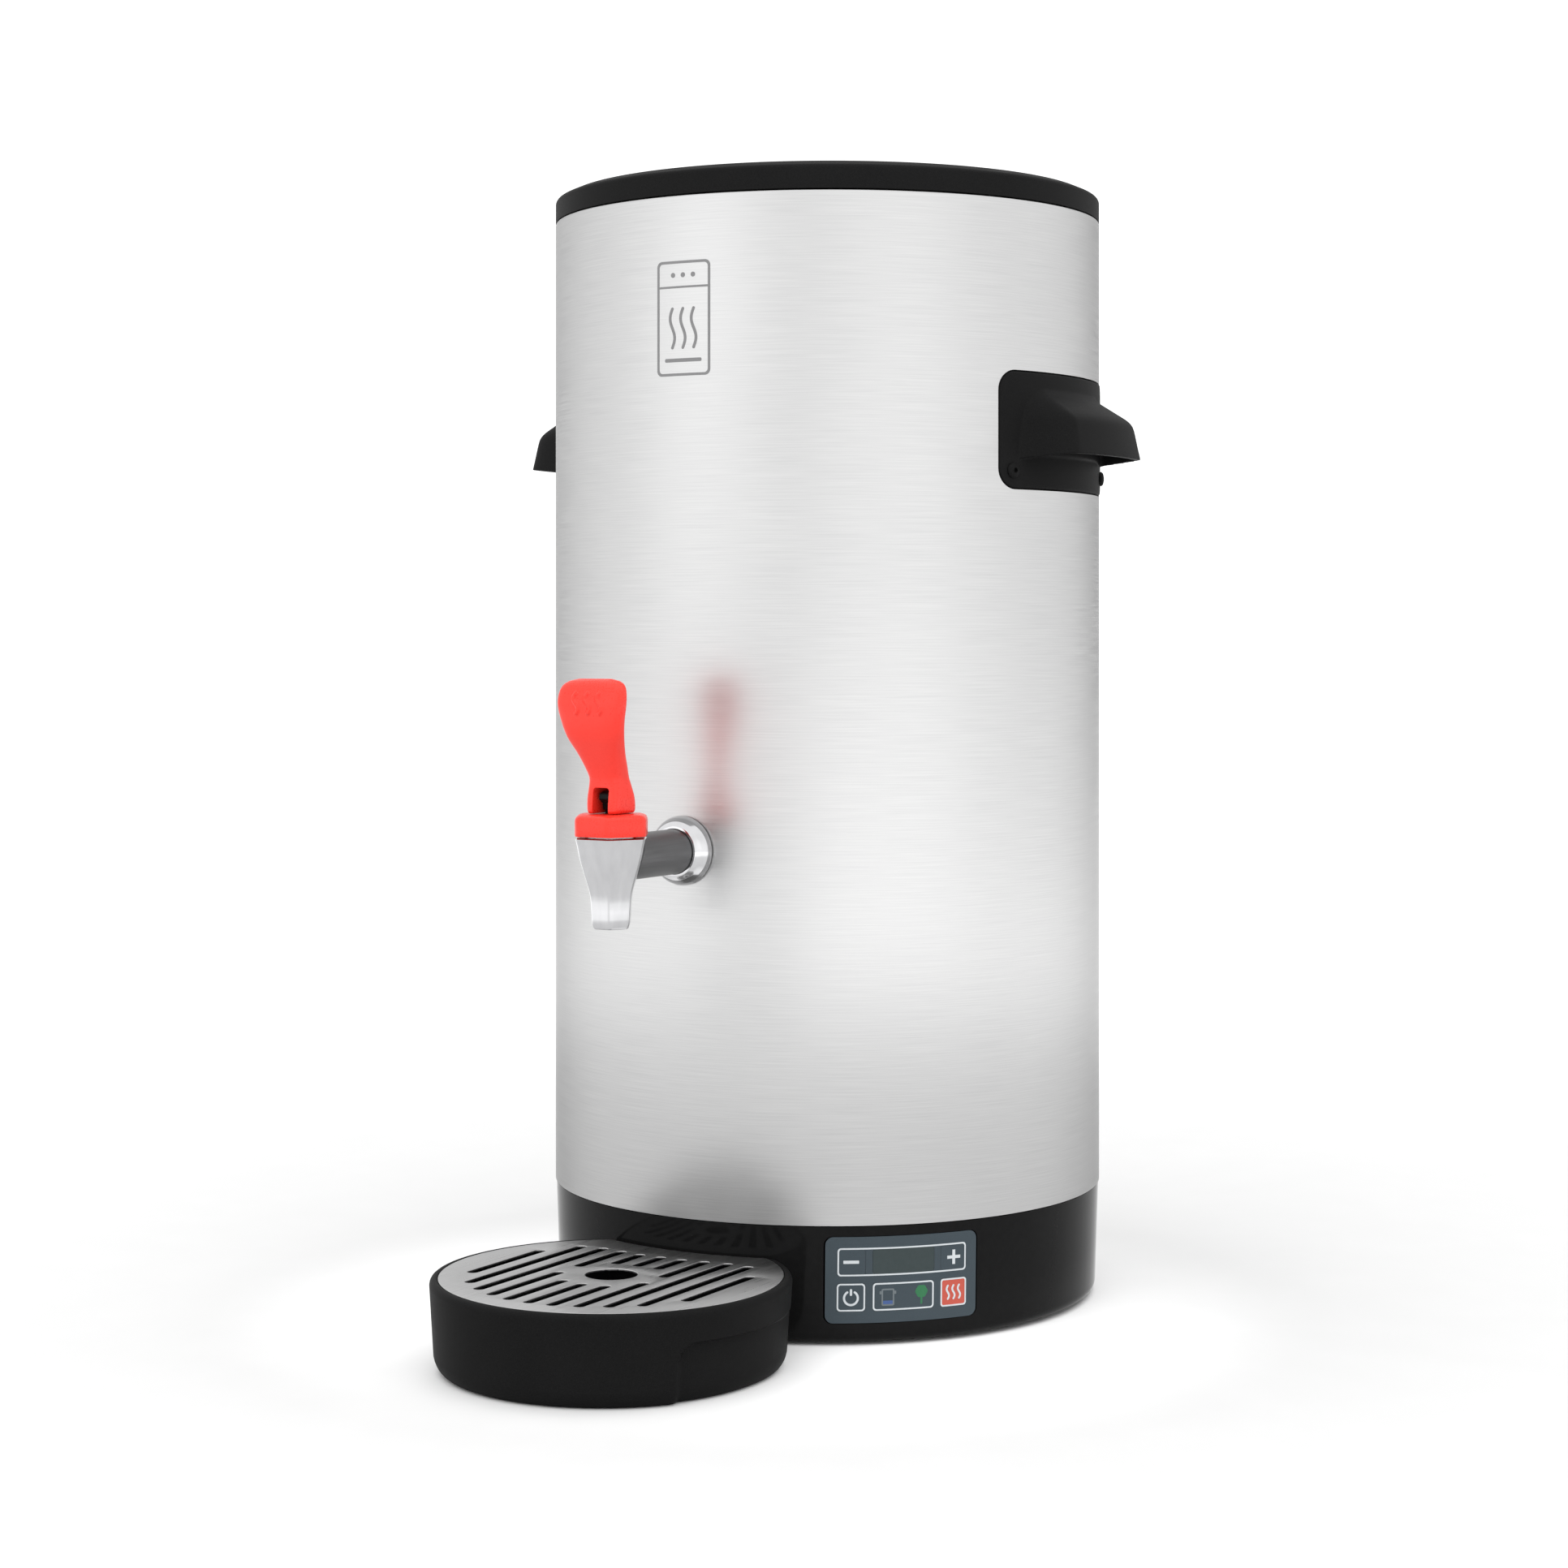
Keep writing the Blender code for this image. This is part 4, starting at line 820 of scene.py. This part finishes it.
# ---- tap ----
def make_shank():
    """The sleeve that carries the tap, its front end shaped to the tap's body, and its collar."""
    place = aimed(0.0, 0.0, SHANK_Z)
    profile = fillet([(0.0115, 0.2075), (0.0115, 0.1504, 0.0003), (0.01, 0.1504),
                      (0.01, 0.1185, 0.0004), (0.006, 0.1185, 0.0003), (0.006, 0.2075)], 4)
    sleeve = lathe("shank_sleeve", profile, SHANK_GREY, steps=96, ring=True, matrix=place)
    clear = 0.0001
    sections = [hexagon(radius + clear, z) for radius, z in TAP_LEVELS[:2:-1]]
    sections += [hexagon(0.0203, 0.2603), hexagon(0.0203, 0.27)]
    combined(sleeve, "DIFFERENCE", [loft("tap_shape", sections)])
    stands_for(sleeve, "tap_shank")
    wall = 0.1504
    collar = fillet([(0.0118, wall + 0.0086), (0.0129, wall + 0.0085, 0.001),
                     (0.015, wall + 0.0068, 0.006), (0.017, wall + 0.0035, 0.006),
                     (0.0179, wall + 0.0008, 0.0006), (0.0177, wall, 0.0002),
                     (0.0118, wall)], 6)
    stands_for(lathe("escutcheon_collar", collar, POLISHED, steps=96, ring=True, matrix=place),
               "shank_escutcheon")


TAP_LEVELS = [             # radius to the sharp corners, height
    (0.0130, 0.2680), (0.0130, 0.2606), (0.0190, 0.2605), (0.0199, 0.2599), (0.0194, 0.2580),
    (0.0188, 0.2557), (0.0183, 0.2532), (0.0176, 0.2503), (0.0168, 0.2475), (0.0159, 0.2448),
    (0.0150, 0.2421), (0.0140, 0.2394), (0.0130, 0.2364), (0.0122, 0.2339), (0.0117, 0.2312),
    (0.0114, 0.2284), (0.0111, 0.2240), (0.0109, 0.2205), (0.0107, 0.2182), (0.0103, 0.2166),
    (0.0097, 0.2157), (0.0089, 0.2154)]
CORNER_SHARE = 0.25        # a corner's rounding as a share of the hexagon's radius
CORNER_STEPS = 8


def hexagon(radius, z):
    """A hexagon with flats to the front and back and well-rounded corners."""
    corners = [(x, y, radius * CORNER_SHARE) for x, y in circle(radius, 6)]
    return [(x, y + TAP_Y, z) for x, y in fillet(corners, CORNER_STEPS)]


def round_section(radius, z):
    """A circle with as many points as a hexagon section, matched to its corners."""
    points = []
    for i in range(6):
        for step in range(CORNER_STEPS + 1):
            turn = (step - CORNER_STEPS / 2) / (CORNER_STEPS + 1.5)
            angle = (i + turn) * math.pi / 3
            points.append((radius * math.cos(angle), radius * math.sin(angle) + TAP_Y, z))
    return points


def make_tap_body():
    sections = [hexagon(*level) for level in TAP_LEVELS]
    sections += [round_section(0.0064, 0.2154), round_section(0.0061, 0.216),
                 round_section(0.0055, 0.233), round_section(0.0095, 0.2365),
                 round_section(0.0095, 0.268)]
    body = loft("tap_casting", sections, CHROME, ring=True, smooth=28.0)
    inlet = bored(0.006, 0.196, 0.21, 0.0, SHANK_Z)
    stands_for(combined(body, "DIFFERENCE", [inlet], 28.0), "tap_body")
    top = TAP_HIGH.z
    low = TAP_LOW.z
    sections = []
    for radius, z in ((0.004, top), (0.0152, top), (0.0168, top - 0.0001), (0.0184, top - 0.0005),
                      (0.0195, top - 0.0012), (0.0201, top - 0.0022), (0.0203, top - 0.0034),
                      (0.0203, low + 0.0006), (0.02, low), (0.0137, low), (0.0137, 0.269),
                      (0.004, 0.269)):
        sections.append(hexagon(radius, z))
    stands_for(loft("bonnet_moulding", sections, RED, ring=True, smooth=28.0), "tap_bonnet")


LEVER_LEVELS = [
    (0.2723, 0.0, 0.0080, 0.0098, 0.30), (0.2735, 0.0, 0.0087, 0.0104, 0.30),
    (0.2800, 0.0003, 0.0093, 0.0096, 0.35), (0.2860, 0.0010, 0.0090, 0.0083, 0.45),
    (0.2900, 0.0020, 0.0090, 0.0076, 0.55), (0.2950, 0.0045, 0.0104, 0.0069, 0.60),
    (0.3020, 0.0088, 0.0124, 0.0062, 0.60), (0.3100, 0.0138, 0.0155, 0.0053, 0.60),
    (0.3180, 0.0164, 0.0176, 0.0047, 0.60), (0.3260, 0.0172, 0.0193, 0.0043, 0.60),
    (0.3320, 0.0164, 0.0190, 0.0040, 0.60), (0.3357, 0.0153, 0.0174, 0.0036, 0.62),
    (0.3378, 0.0143, 0.0140, 0.0028, 0.70), (0.3387, 0.0138, 0.0096, 0.0015, 0.80)]


def lever_section(z, lean, half_width, half_depth, squareness):
    loop = []
    count = 72
    for i in range(count):
        angle = 2 * math.pi * (i + 0.5) / count
        c = math.cos(angle)
        s = math.sin(angle)
        x = half_width * math.copysign(abs(c) ** squareness, c)
        y = half_depth * math.copysign(abs(s) ** squareness, s) - lean
        loop.append((x, y + TAP_Y, z))
    return loop


def lever_front(x, z):
    """The lever's front surface at a point across and a height."""
    _, lean, half_width, half_depth, squareness = between(LEVER_LEVELS, z)
    c = min(1.0, abs(x) / half_width) ** (1 / squareness)
    s = math.sqrt(max(0.0, 1 - c * c))
    return TAP_Y - half_depth * s ** squareness - lean


def make_lever():
    low = LEVER_LEVELS[0][0]
    high = LEVER_LEVELS[-1][0]
    sections = []
    count = 60
    for i in range(count + 1):
        sections.append(lever_section(*between(LEVER_LEVELS, low + (high - low) * i / count)))
    lever = loft("lever_moulding", sections, RED)
    waves = []
    for k in (-1, 0, 1):
        points = [(x, lever_front(x, z) - 0.0001, z)
                  for x, z in wave(k * 0.0068, 0.3215, 0.0105, 0.0015)]
        waves.append(tube(f"wave_{k + 1}", points, 0.001, resolution=3))
    combined(lever, "UNION", waves)
    slot_place = Matrix.Translation((0.0, TAP_Y - 0.0025, 0.0)) @ Matrix.Rotation(QUARTER, 4, "X")
    slot = slab("slot", [rounded_box(0.0046, 0.268, 0.285, 0.0016, 6)], -0.009, 0.009,
                place=slot_place)
    combined(lever, "DIFFERENCE", [slot])
    melted(lever, 0.00033, 4)
    hole = peg(0.0017, -0.0062, 0.0062, PIN_PLACE, 32)
    stands_for(combined(lever, "DIFFERENCE", [hole], 60.0), "tap_lever", "lever")
    pin = fillet([(0.0, 0.006), (0.0015, 0.006, 0.0003), (0.0015, -0.006, 0.0003),
                  (0.0, -0.006)], 3)
    stands_for(lathe("hinge_pin", pin, ZINC, steps=32, matrix=PIN_PLACE), "lever_pin", "lever")


def make_valve():
    profile = fillet([(0.0, PIN_Z + 0.0035), (0.0034, PIN_Z + 0.0035, 0.0012),
                      (0.0034, 0.2742, 0.0006), (0.003, 0.2736), (0.003, 0.238, 0.0003),
                      (0.0, 0.238)], 4)
    place = Matrix.Translation((0.0, TAP_Y, 0.0))
    stem = lathe("valve_rod", profile, GLOSS_BLACK, steps=48, matrix=place)
    eye = peg(0.0018, -0.006, 0.006, PIN_PLACE, 24)
    across = place @ Matrix.Rotation(QUARTER, 4, "Z") @ Matrix.Rotation(QUARTER, 4, "X")
    hook = slab("hook", [fillet([
        (-0.0029, 0.274, 0.0006), (0.0029, 0.274, 0.0006), (0.0036, 0.279, 0.0015),
        (0.0026, 0.2826, 0.0014), (-0.0024, 0.2834, 0.0016), (-0.0064, 0.2822, 0.0012),
        (-0.0068, 0.2794, 0.001), (-0.004, 0.2776, 0.001)])], -0.0027, 0.0027,
                place=across)
    combined(stem, "UNION", [hook])
    stands_for(combined(stem, "DIFFERENCE", [eye]), "valve_stem", "valve")


# ---- control panel ----
KEY_BETA = math.radians(10.5)
KEY_HALF = 0.0073
WINDOW_HALF = 0.0162
LOWER_ROW = (0.0178, 0.0321)
UPPER_ROW = (0.0366, 0.0493)
SKIN = 0.0002             # how far the overlay stands out of the base


def film(name, outlines, low, high, material):
    """A thin piece that follows the base's wall."""
    return wrap(slab(name, outlines, low, high, material, smooth=40.0), base_radius, PANEL_BETA)


def frame_outline(half, low, high, corner, line, centre=0.0):
    return [rounded_box(half, low, high, corner, 6, centre),
            rounded_box(half - line, low + line, high - line, corner - line * 0.7, 6, centre)]


def plus_outline(x, y, reach, half):
    steps = [(-reach, -half), (-half, -half), (-half, -reach), (half, -reach), (half, -half),
             (reach, -half), (reach, half), (half, half), (half, reach), (-half, reach),
             (-half, half), (-reach, half)]
    return [(x + across, y + up) for across, up in steps]


def arc_points(x, y, radius, start, end, count=28):
    points = []
    for i in range(count + 1):
        angle = start + (end - start) * i / count
        points.append((x + radius * math.cos(angle), y + radius * math.sin(angle)))
    return points


def make_panel():
    wall = 0.1486
    key_x = KEY_BETA * wall
    deep = -0.0028
    insets = [("key_minus", -key_x, KEY_HALF, UPPER_ROW, SLATE, "panel_slate"),
              ("key_plus", key_x, KEY_HALF, UPPER_ROW, SLATE, "panel_slate"),
              ("key_power", -key_x, KEY_HALF, LOWER_ROW, SLATE, "panel_slate"),
              ("key_boil", key_x, KEY_HALF, LOWER_ROW, KEY_RED, "key_red"),
              ("display_window", 0.0, WINDOW_HALF, UPPER_ROW, DARK_WINDOW, "dark_window"),
              ("indicator_window", 0.0, WINDOW_HALF, LOWER_ROW, SLATE, "dark_window")]
    corner = 0.0016
    slit = 0.00012
    outlines = [rounded_box(PANEL_HALF, PANEL_LOW, PANEL_HIGH, 0.0042, 8)]
    for _, x, half, (low, high), _, _ in insets:
        outlines.append(rounded_box(half + slit, low - slit, high + slit, corner, 5, x))
    stands_for(film("panel_overlay", outlines, deep, SKIN, SLATE), "control_panel")
    for cad, x, half, (low, high), look, slot in insets:
        piece = film(cad + "_face", [rounded_box(half, low, high, corner - slit, 5, x)],
                     deep + 0.0006, SKIN, look)
        stands_for(piece, cad, cad if cad.startswith("key") else "root")
    ink = SKIN + 0.00006
    line = 0.0008

    def printed(name, outlines, body="root", material=WHITE_INK):
        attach(film(name, outlines, SKIN - 0.00002, ink, material), body)

    printed("upper_frame_line", frame_outline(0.0342, 0.0358, 0.0501, 0.0018, line))
    printed("indicator_frame_line", frame_outline(0.0161, 0.0179, 0.032, 0.0018, line))
    printed("power_frame_line", frame_outline(0.0072, 0.0179, 0.032, 0.0018, line, -key_x),
            "key_power")
    printed("boil_frame_line", frame_outline(KEY_HALF, *LOWER_ROW, 0.0015, line, key_x), "key_boil")
    middle = (UPPER_ROW[0] + UPPER_ROW[1]) / 2
    bar = rounded_box(0.004, middle - 0.0008, middle + 0.0008, 0.0002, 2, -key_x)
    printed("minus_mark", [bar], "key_minus")
    printed("plus_mark", [plus_outline(key_x, middle, 0.0037, 0.0008)], "key_plus")
    row = (LOWER_ROW[0] + LOWER_ROW[1]) / 2 - 0.0003
    ring = arc_points(-key_x, row, 0.0035, math.radians(122), math.radians(418))
    printed("power_ring", [stroke(ring, 0.0011)], "key_power")
    bar = rounded_box(0.0006, row + 0.0012, row + 0.0046, 0.0004, 3, -key_x)
    printed("power_bar", [bar], "key_power")
    for k in (-1, 0, 1):
        steam = wave(key_x + k * 0.0032, 0.0216, 0.0068, 0.0007, 16)
        printed(f"boil_wave_{k + 2}", [stroke(steam, 0.001)], "key_boil")
    level_x = -0.0083
    printed("level_outline", frame_outline(0.0033, 0.0203, 0.029, 0.0008, line, level_x),
            material=LEVEL_INK)
    printed("level_lugs", [rounded_box(0.0005, 0.0262, 0.0278, 0.0002, 2, level_x + side * 0.0038)
                           for side in (-1.0, 1.0)], material=LEVEL_INK)
    water = rounded_box(0.0025, 0.0211, 0.0229, 0.0003, 2, level_x)
    printed("level_water", [water], material=BLUE_INK)
    tree_x = 0.0094
    crown = []
    for angle in around(40):
        reach = 0.0032 * (1 + 0.05 * math.cos(6 * angle))
        crown.append((tree_x + reach * math.cos(angle), 0.0268 + reach * math.sin(angle)))
    printed("ready_mark_crown", [crown], material=GREEN_INK)
    stem = rounded_box(0.0005, 0.0203, 0.0245, 0.0002, 2, tree_x)
    printed("ready_mark_stem", [stem], material=GREEN_INK)


# ---- marks printed on the jacket ----
def make_jacket_marks():
    def printed(name, outlines, material):
        piece = slab(name, outlines, -0.00002, 0.00008, material, smooth=40.0)
        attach(wrap(piece, lambda z: BODY_R, 0.0), "root")

    middle = 0.522
    half = 0.016
    line = 0.0014
    printed("notice_frame", frame_outline(half, middle - 0.0295, middle + 0.0295, 0.003, line),
            GREY_INK)
    end = half - line / 2
    printed("notice_divider", [[(-end, middle + 0.0155), (end, middle + 0.0155),
                                (end, middle + 0.0166), (-end, middle + 0.0166)]], GREY_INK)
    for k in (-1, 0, 1):
        steam = wave(k * 0.0064, middle - 0.015, 0.02, 0.0014)
        printed(f"notice_wave_{k + 2}", [stroke(steam, 0.0016)], GREY_INK)
    printed("notice_bar", [rounded_box(0.011, middle - 0.0224, middle - 0.0205, 0.0007, 3)],
            GREY_INK)
    printed("notice_dots", [circle(0.0013, 20, (x, middle + 0.0222)) for x in (-0.006, 0.0, 0.006)],
            GREY_INK)


# ---- drip tray ----
TRAY_R = 0.0893
TRAY_REAR_R = 0.1512
TRAY_BASIN_REAR_R = 0.155
GRID_R = 0.085
GRID_REAR_R = 0.1524


def soft_min(a, b, width):
    """The smaller of two lengths, blended where they are close."""
    if abs(a - b) >= width:
        return min(a, b)
    share = 0.5 + 0.5 * (b - a) / width
    return b + (a - b) * share - width * share * (1 - share) / 2


def to_body(angle, radius):
    """Distance from the tray's centre to a circle about the body, at an angle from the rear."""
    along = SPOUT * math.cos(angle)
    inside = along * along - (SPOUT * SPOUT - radius * radius)
    if along <= 0 or inside <= 0:
        return 1.0
    return along - math.sqrt(inside)


def grip_recess(angle, z):
    """How far the finger grip is let into the tray's side, at an angle from the rear."""
    turn = abs(math.atan2(math.sin(angle), math.cos(angle)))
    reach = math.cos(turn) * -TRAY_R          # how far ahead of the tray's centre
    side = ease(-reach, -0.053, -0.0495)
    top = 0.029
    corner = 0.008
    ahead = -reach + 0.0512                   # past the recess's front edge, rearwards
    limit = top
    if ahead < corner:
        limit = top - corner + math.sqrt(max(0.0, corner ** 2 - (corner - max(ahead, 0.0)) ** 2))
    below = 1.0 - ease(z, limit - 0.0006, limit + 0.0008)
    fade = 1.0 - 0.8 * ease(-turn, -math.radians(100.0), -math.radians(62.0))
    return 0.003 * side * below * fade


def make_tray():
    floor = 0.0025
    seat = 0.0435
    foot_r = 0.0872                               # the tray's side begins here
    foot_z = 0.0078
    rim_z = 0.0415                                # and ends here
    outer = [(0.0, 0.0), (0.06, 0.0), (0.08, 0.0), (0.0818, 0.0002),
             (0.0832, 0.0008), (0.0844, 0.0018), (0.0854, 0.0031), (0.0862, 0.0046),
             (0.0868, 0.0062), (foot_r, foot_z)]
    levels = 46
    for i in range(1, levels + 1):
        z = foot_z + (rim_z - foot_z) * i / levels
        outer.append((foot_r + 0.002 * i / levels, z))
    outer += [(0.0892, 0.0422), (0.089, 0.0432), (0.0885, 0.0441), (0.0877, 0.0447),
              (0.0866, 0.045), (0.0858, 0.045)]
    inner = [(0.0854, 0.0448), (0.0853, 0.0444), (0.0853, seat), (0.0834, seat),
             (0.0828, seat - 0.0004), (0.0806, 0.006), (0.08, 0.004), (0.0785, 0.0028),
             (0.075, floor), (0.04, floor), (0.0, floor)]
    angles = around(360)
    horn = math.acos((SPOUT ** 2 + TRAY_R ** 2 - TRAY_REAR_R ** 2) / (2 * SPOUT * TRAY_R))
    for side in (horn, 2 * math.pi - horn):
        for k in range(-40, 41):
            angles.append(side + math.radians(k * 0.15))
    angles = sorted(set(round(a, 6) for a in angles))
    angles = [a for a, b in zip(angles, angles[1:] + [9.0]) if b - a > 0.0004]
    rows = []
    for k, (radius, z) in enumerate(outer + inner):
        outside = k < len(outer)
        row = []
        for angle in angles:
            if radius == 0.0:
                reach = 0.0
            elif outside:
                wall = radius - (grip_recess(angle, z) if z < 0.04 else 0.0)
                slope = max(0.0, foot_r - radius) if z <= foot_z else max(0.0, z - rim_z) * 0.9
                rear = to_body(angle, TRAY_REAR_R + slope)
                reach = soft_min(wall, rear, 0.0012)
            else:
                back = TRAY_BASIN_REAR_R + (0.0453 - z) * 0.02
                if z >= seat:
                    back = GRID_REAR_R - 0.0003
                if k == len(outer) + 3:           # the seat's inner edge
                    back = TRAY_BASIN_REAR_R
                reach = soft_min(radius, to_body(angle, back), 0.001)
            row.append((reach * math.sin(angle), reach * math.cos(angle) + TAP_Y, z))
        rows.append(row)
    shape, _ = skinned(rows)
    bmesh.ops.remove_doubles(shape, verts=shape.verts, dist=2 * WELD)
    tray = piece_from(shape, "tray_moulding", MATTE_BLACK, 40.0)
    stands_for(tray, "drip_tray", "drip_tray")


def grid_outline():
    """A circle with a bite out of its rear, concentric with the body, with rounded horns."""
    points = []
    for angle in around(720):
        reach = soft_min(GRID_R, to_body(angle, GRID_REAR_R), 0.001)
        points.append((reach * math.sin(angle), reach * math.cos(angle) + TAP_Y))
    return points[::-1]


def make_grid():
    pitch = 0.0125
    half = 0.0029
    rows = [[(0.0729, 0.0235), (-0.0216, -0.0475)], [(0.0719, 0.0215), (-0.0211, -0.0475)],
            [(0.0679, 0.007), (-0.0066, -0.0492)], [(0.0614, -0.051)], [(0.0514, -0.05)],
            [(0.0322, -0.031)]]
    outlines = [grid_outline(), circle(0.013, 64, (0.0, TAP_Y))]
    for i, row in enumerate(rows):
        for side in ((1.0, -1.0) if i else (1.0,)):
            for front, back in row:
                x = side * i * pitch
                outline = arc_points(x, TAP_Y - front + half, half, math.pi, 2 * math.pi, 12)
                outline += arc_points(x, TAP_Y - back - half, half, 0.0, math.pi, 12)
                outlines.append(outline)
    low, high = span("drip_grid")
    grid = slab("grid_plate", outlines, low, high, GRID_STEEL, 0.0003, 3, 50.0)
    stands_for(grid, "drip_grid", "drip_grid")


# ---- rear fittings ----
def make_rear_fittings():
    place = aimed(math.pi, 0.0, INLET_Z)
    profile = [(0.0125, 0.166), (0.0125, 0.1655)]
    thread = 9
    for i in range(thread):
        z = 0.165 - i * 0.0016
        profile += [(0.0119, z + 0.0003), (0.0119, z - 0.0003), (0.0125, z - 0.0007),
                    (0.0125, z - 0.0009)]
    profile += [(0.0125, 0.119), (0.007, 0.119), (0.007, 0.1655), (0.0074, 0.166)]
    stands_for(lathe("water_inlet_thread", profile, BRASS, steps=96, ring=True, matrix=place),
               "inlet_fitting")
    place = aimed(GLAND_BETA, 0.0, INLET_Z)
    profile = fillet([
        (0.0045, 0.159), (0.0075, 0.159, 0.0008), (0.01, 0.156, 0.001),
        (0.0105, 0.15, 0.0003), (0.0105, 0.1494, 0.0003), (0.0078, 0.1494),
        (0.0078, 0.141, 0.0003), (0.0035, 0.141), (0.0035, 0.159)], 4)
    gland = lathe("gland_cap", profile, MATTE_BLACK, steps=72, ring=True, matrix=place)
    stands_for(gland, "cable_gland")


# ---- studio ----
CAMERA_BETA = math.radians(30.3)
CAMERA_HEIGHT = 0.365
CAMERA_REACH = 1.676       # from the body's axis
CAMERA_ASIDE = 0.0239      # to the left of the line to the axis
SURROUND = 1.27            # strength of the even light all round


def put(name, data, place):
    obj = bpy.data.objects.new(name, data)
    bpy.context.scene.collection.objects.link(obj)
    obj.matrix_world = place
    return obj


def make_camera():
    data = bpy.data.cameras.new("camera")
    data.sensor_width = 36.0
    data.lens = 69.39
    data.shift_y = -0.10145
    data.clip_start = 0.05
    data.clip_end = 50.0
    right = Vector((math.cos(CAMERA_BETA), math.sin(CAMERA_BETA), 0.0))
    spot = (Vector((0.0, AXIS_Y, CAMERA_HEIGHT)) + heading(CAMERA_BETA) * CAMERA_REACH
            - right * CAMERA_ASIDE)
    level = Matrix.Rotation(CAMERA_BETA, 4, "Z") @ Matrix.Rotation(QUARTER, 4, "X")
    bpy.context.scene.camera = put("camera", data, Matrix.Translation(spot) @ level)


def make_light(name, turn, distance, height, width, tall, power, aim_z=0.3):
    data = bpy.data.lights.new(name, "AREA")
    data.shape = "RECTANGLE"
    data.size = width
    data.size_y = tall
    data.energy = power
    beta = CAMERA_BETA + math.radians(turn)
    spot = heading(beta) * distance + Vector((0.0, AXIS_Y, height))
    aim = (Vector((0.0, AXIS_Y, aim_z)) - spot).to_track_quat("-Z", "Y").to_matrix().to_4x4()
    light = put(name, data, Matrix.Translation(spot) @ aim)
    light.visible_camera = False
    return light


FLOOR_SHADE_RING = 0.58          # how pale the floor's ring of painted shade is, between the body and its far side


def towards(tree, direction, turn, outer, inner, amount):
    """A soft glow, or a shade if it is negative, around a direction some degrees from the
    camera's: nothing past the outer angle."""
    dot = node(tree, "ShaderNodeVectorMath", {
        0: direction, 1: heading(CAMERA_BETA + math.radians(turn))}, operation="DOT_PRODUCT")
    fade = (math.cos(math.radians(outer)), math.cos(math.radians(inner)))
    glow = remap(tree, dot.outputs["Value"], 0.0, amount, fade)
    glow.node.interpolation_type = "SMOOTHSTEP"
    return glow


def plus(tree, a, b):
    return node(tree, "ShaderNodeMath", {0: a, 1: b}, operation="ADD").outputs["Value"]


def make_floor():
    """A pale sweep with a slightly darker ring of painted shade round the body and a paler far
    side, where a painted shade lies in front of the tap and a painted glow 20 degrees round from
    the camera; the lower jacket mirrors them.
    """
    material = surface("pale_floor", 0.94, 0.96, (0.75, 0.85), 30.0, specular=0.1)
    tree = material.node_tree
    shader = tree.nodes["Principled BSDF"]
    pale = shader.inputs["Base Color"].links[0].from_socket
    place = node(tree, "ShaderNodeTexCoord").outputs["Object"]
    offset = node(tree, "ShaderNodeVectorMath", {0: place}, operation="LENGTH")
    outward = node(tree, "ShaderNodeVectorMath", {0: place}, operation="NORMALIZE")
    direction = outward.outputs["Vector"]
    # painted shade: the floor darkens into a ring round the body for the lower jacket to mirror,
    # then turns pale again further out
    inside = remap(tree, offset.outputs["Value"], 1.0, FLOOR_SHADE_RING, (0.1, 0.3))
    beyond = remap(tree, offset.outputs["Value"], 0.0, 1.0 - FLOOR_SHADE_RING, (0.7, 1.45))
    for ramp in (inside, beyond):
        ramp.node.interpolation_type = "SMOOTHSTEP"
    # painted shade in front of the tap, which the jacket mirrors as the tap and tray's dark
    # reflection, and a painted glow, which it mirrors as a highlight; both lie only on the floor's
    # far side
    painted_shade = towards(tree, direction, -31.0, 27.0, 8.0, -0.5)
    painted_glow = towards(tree, direction, 20.0, 50.0, 8.0, 0.35)
    share = node(tree, "ShaderNodeMath", {
        0: beyond, 1: plus(tree, painted_shade, painted_glow), 2: plus(tree, inside, beyond)},
        operation="MULTIPLY_ADD")
    shade = node(tree, "ShaderNodeVectorMath", {0: pale, "Scale": share.outputs["Value"]},
                 operation="SCALE")
    feed(shader, {"Base Color": shade.outputs["Vector"]})
    shape = bmesh.new()
    bmesh.ops.create_grid(shape, x_segments=4, y_segments=4, size=12.0)
    mesh = bpy.data.meshes.new("floor")
    shape.to_mesh(mesh)
    shape.free()
    link("floor", mesh, material)


def make_studio():
    """An even surround with a soft glow either side of the camera and a darker patch behind."""
    world = bpy.data.worlds.new("studio")
    bpy.context.scene.world = world
    world.use_nodes = True
    tree = world.node_tree
    background = tree.nodes["Background"]
    direction = node(tree, "ShaderNodeTexCoord").outputs["Generated"]
    strength = SURROUND
    for turn, outer, inner, amount in ((-53.0, 36.0, 0.0, 0.38), (27.0, 42.0, 12.0, 0.21),
                                       (170.0, 45.0, 0.0, -0.55)):
        strength = plus(tree, towards(tree, direction, turn, outer, inner, amount), strength)
    camera_ray = node(tree, "ShaderNodeLightPath").outputs["Is Camera Ray"]
    seen = node(tree, "ShaderNodeMix", {"Factor": camera_ray, "A": strength, "B": SURROUND})
    feed(background, {"Strength": seen.outputs["Result"], "Color": (1.0, 1.0, 1.0, 1.0)})
    make_light("left_box", -50.0, 2.6, 1.3, 1.6, 1.6, 1.0)
    make_light("front_box", 30.0, 3.0, 1.2, 1.8, 1.6, 0.6)
    overhead = make_light("overhead", 0.0, 0.6, 3.5, 6.0, 6.0, 165.0, aim_z=0.0)
    overhead.visible_glossy = False
    settings = bpy.context.scene.view_settings
    settings.view_transform = "Standard"
    settings.look = "None"
    settings.exposure = 0.0
    settings.gamma = 1.0


for make in (make_camera, make_floor, make_studio, make_jacket, make_lid, make_base, make_tank,
             make_element, make_handles, make_shank, make_tap_body, make_lever, make_valve,
             make_panel, make_jacket_marks, make_tray, make_grid, make_rear_fittings):
    make()
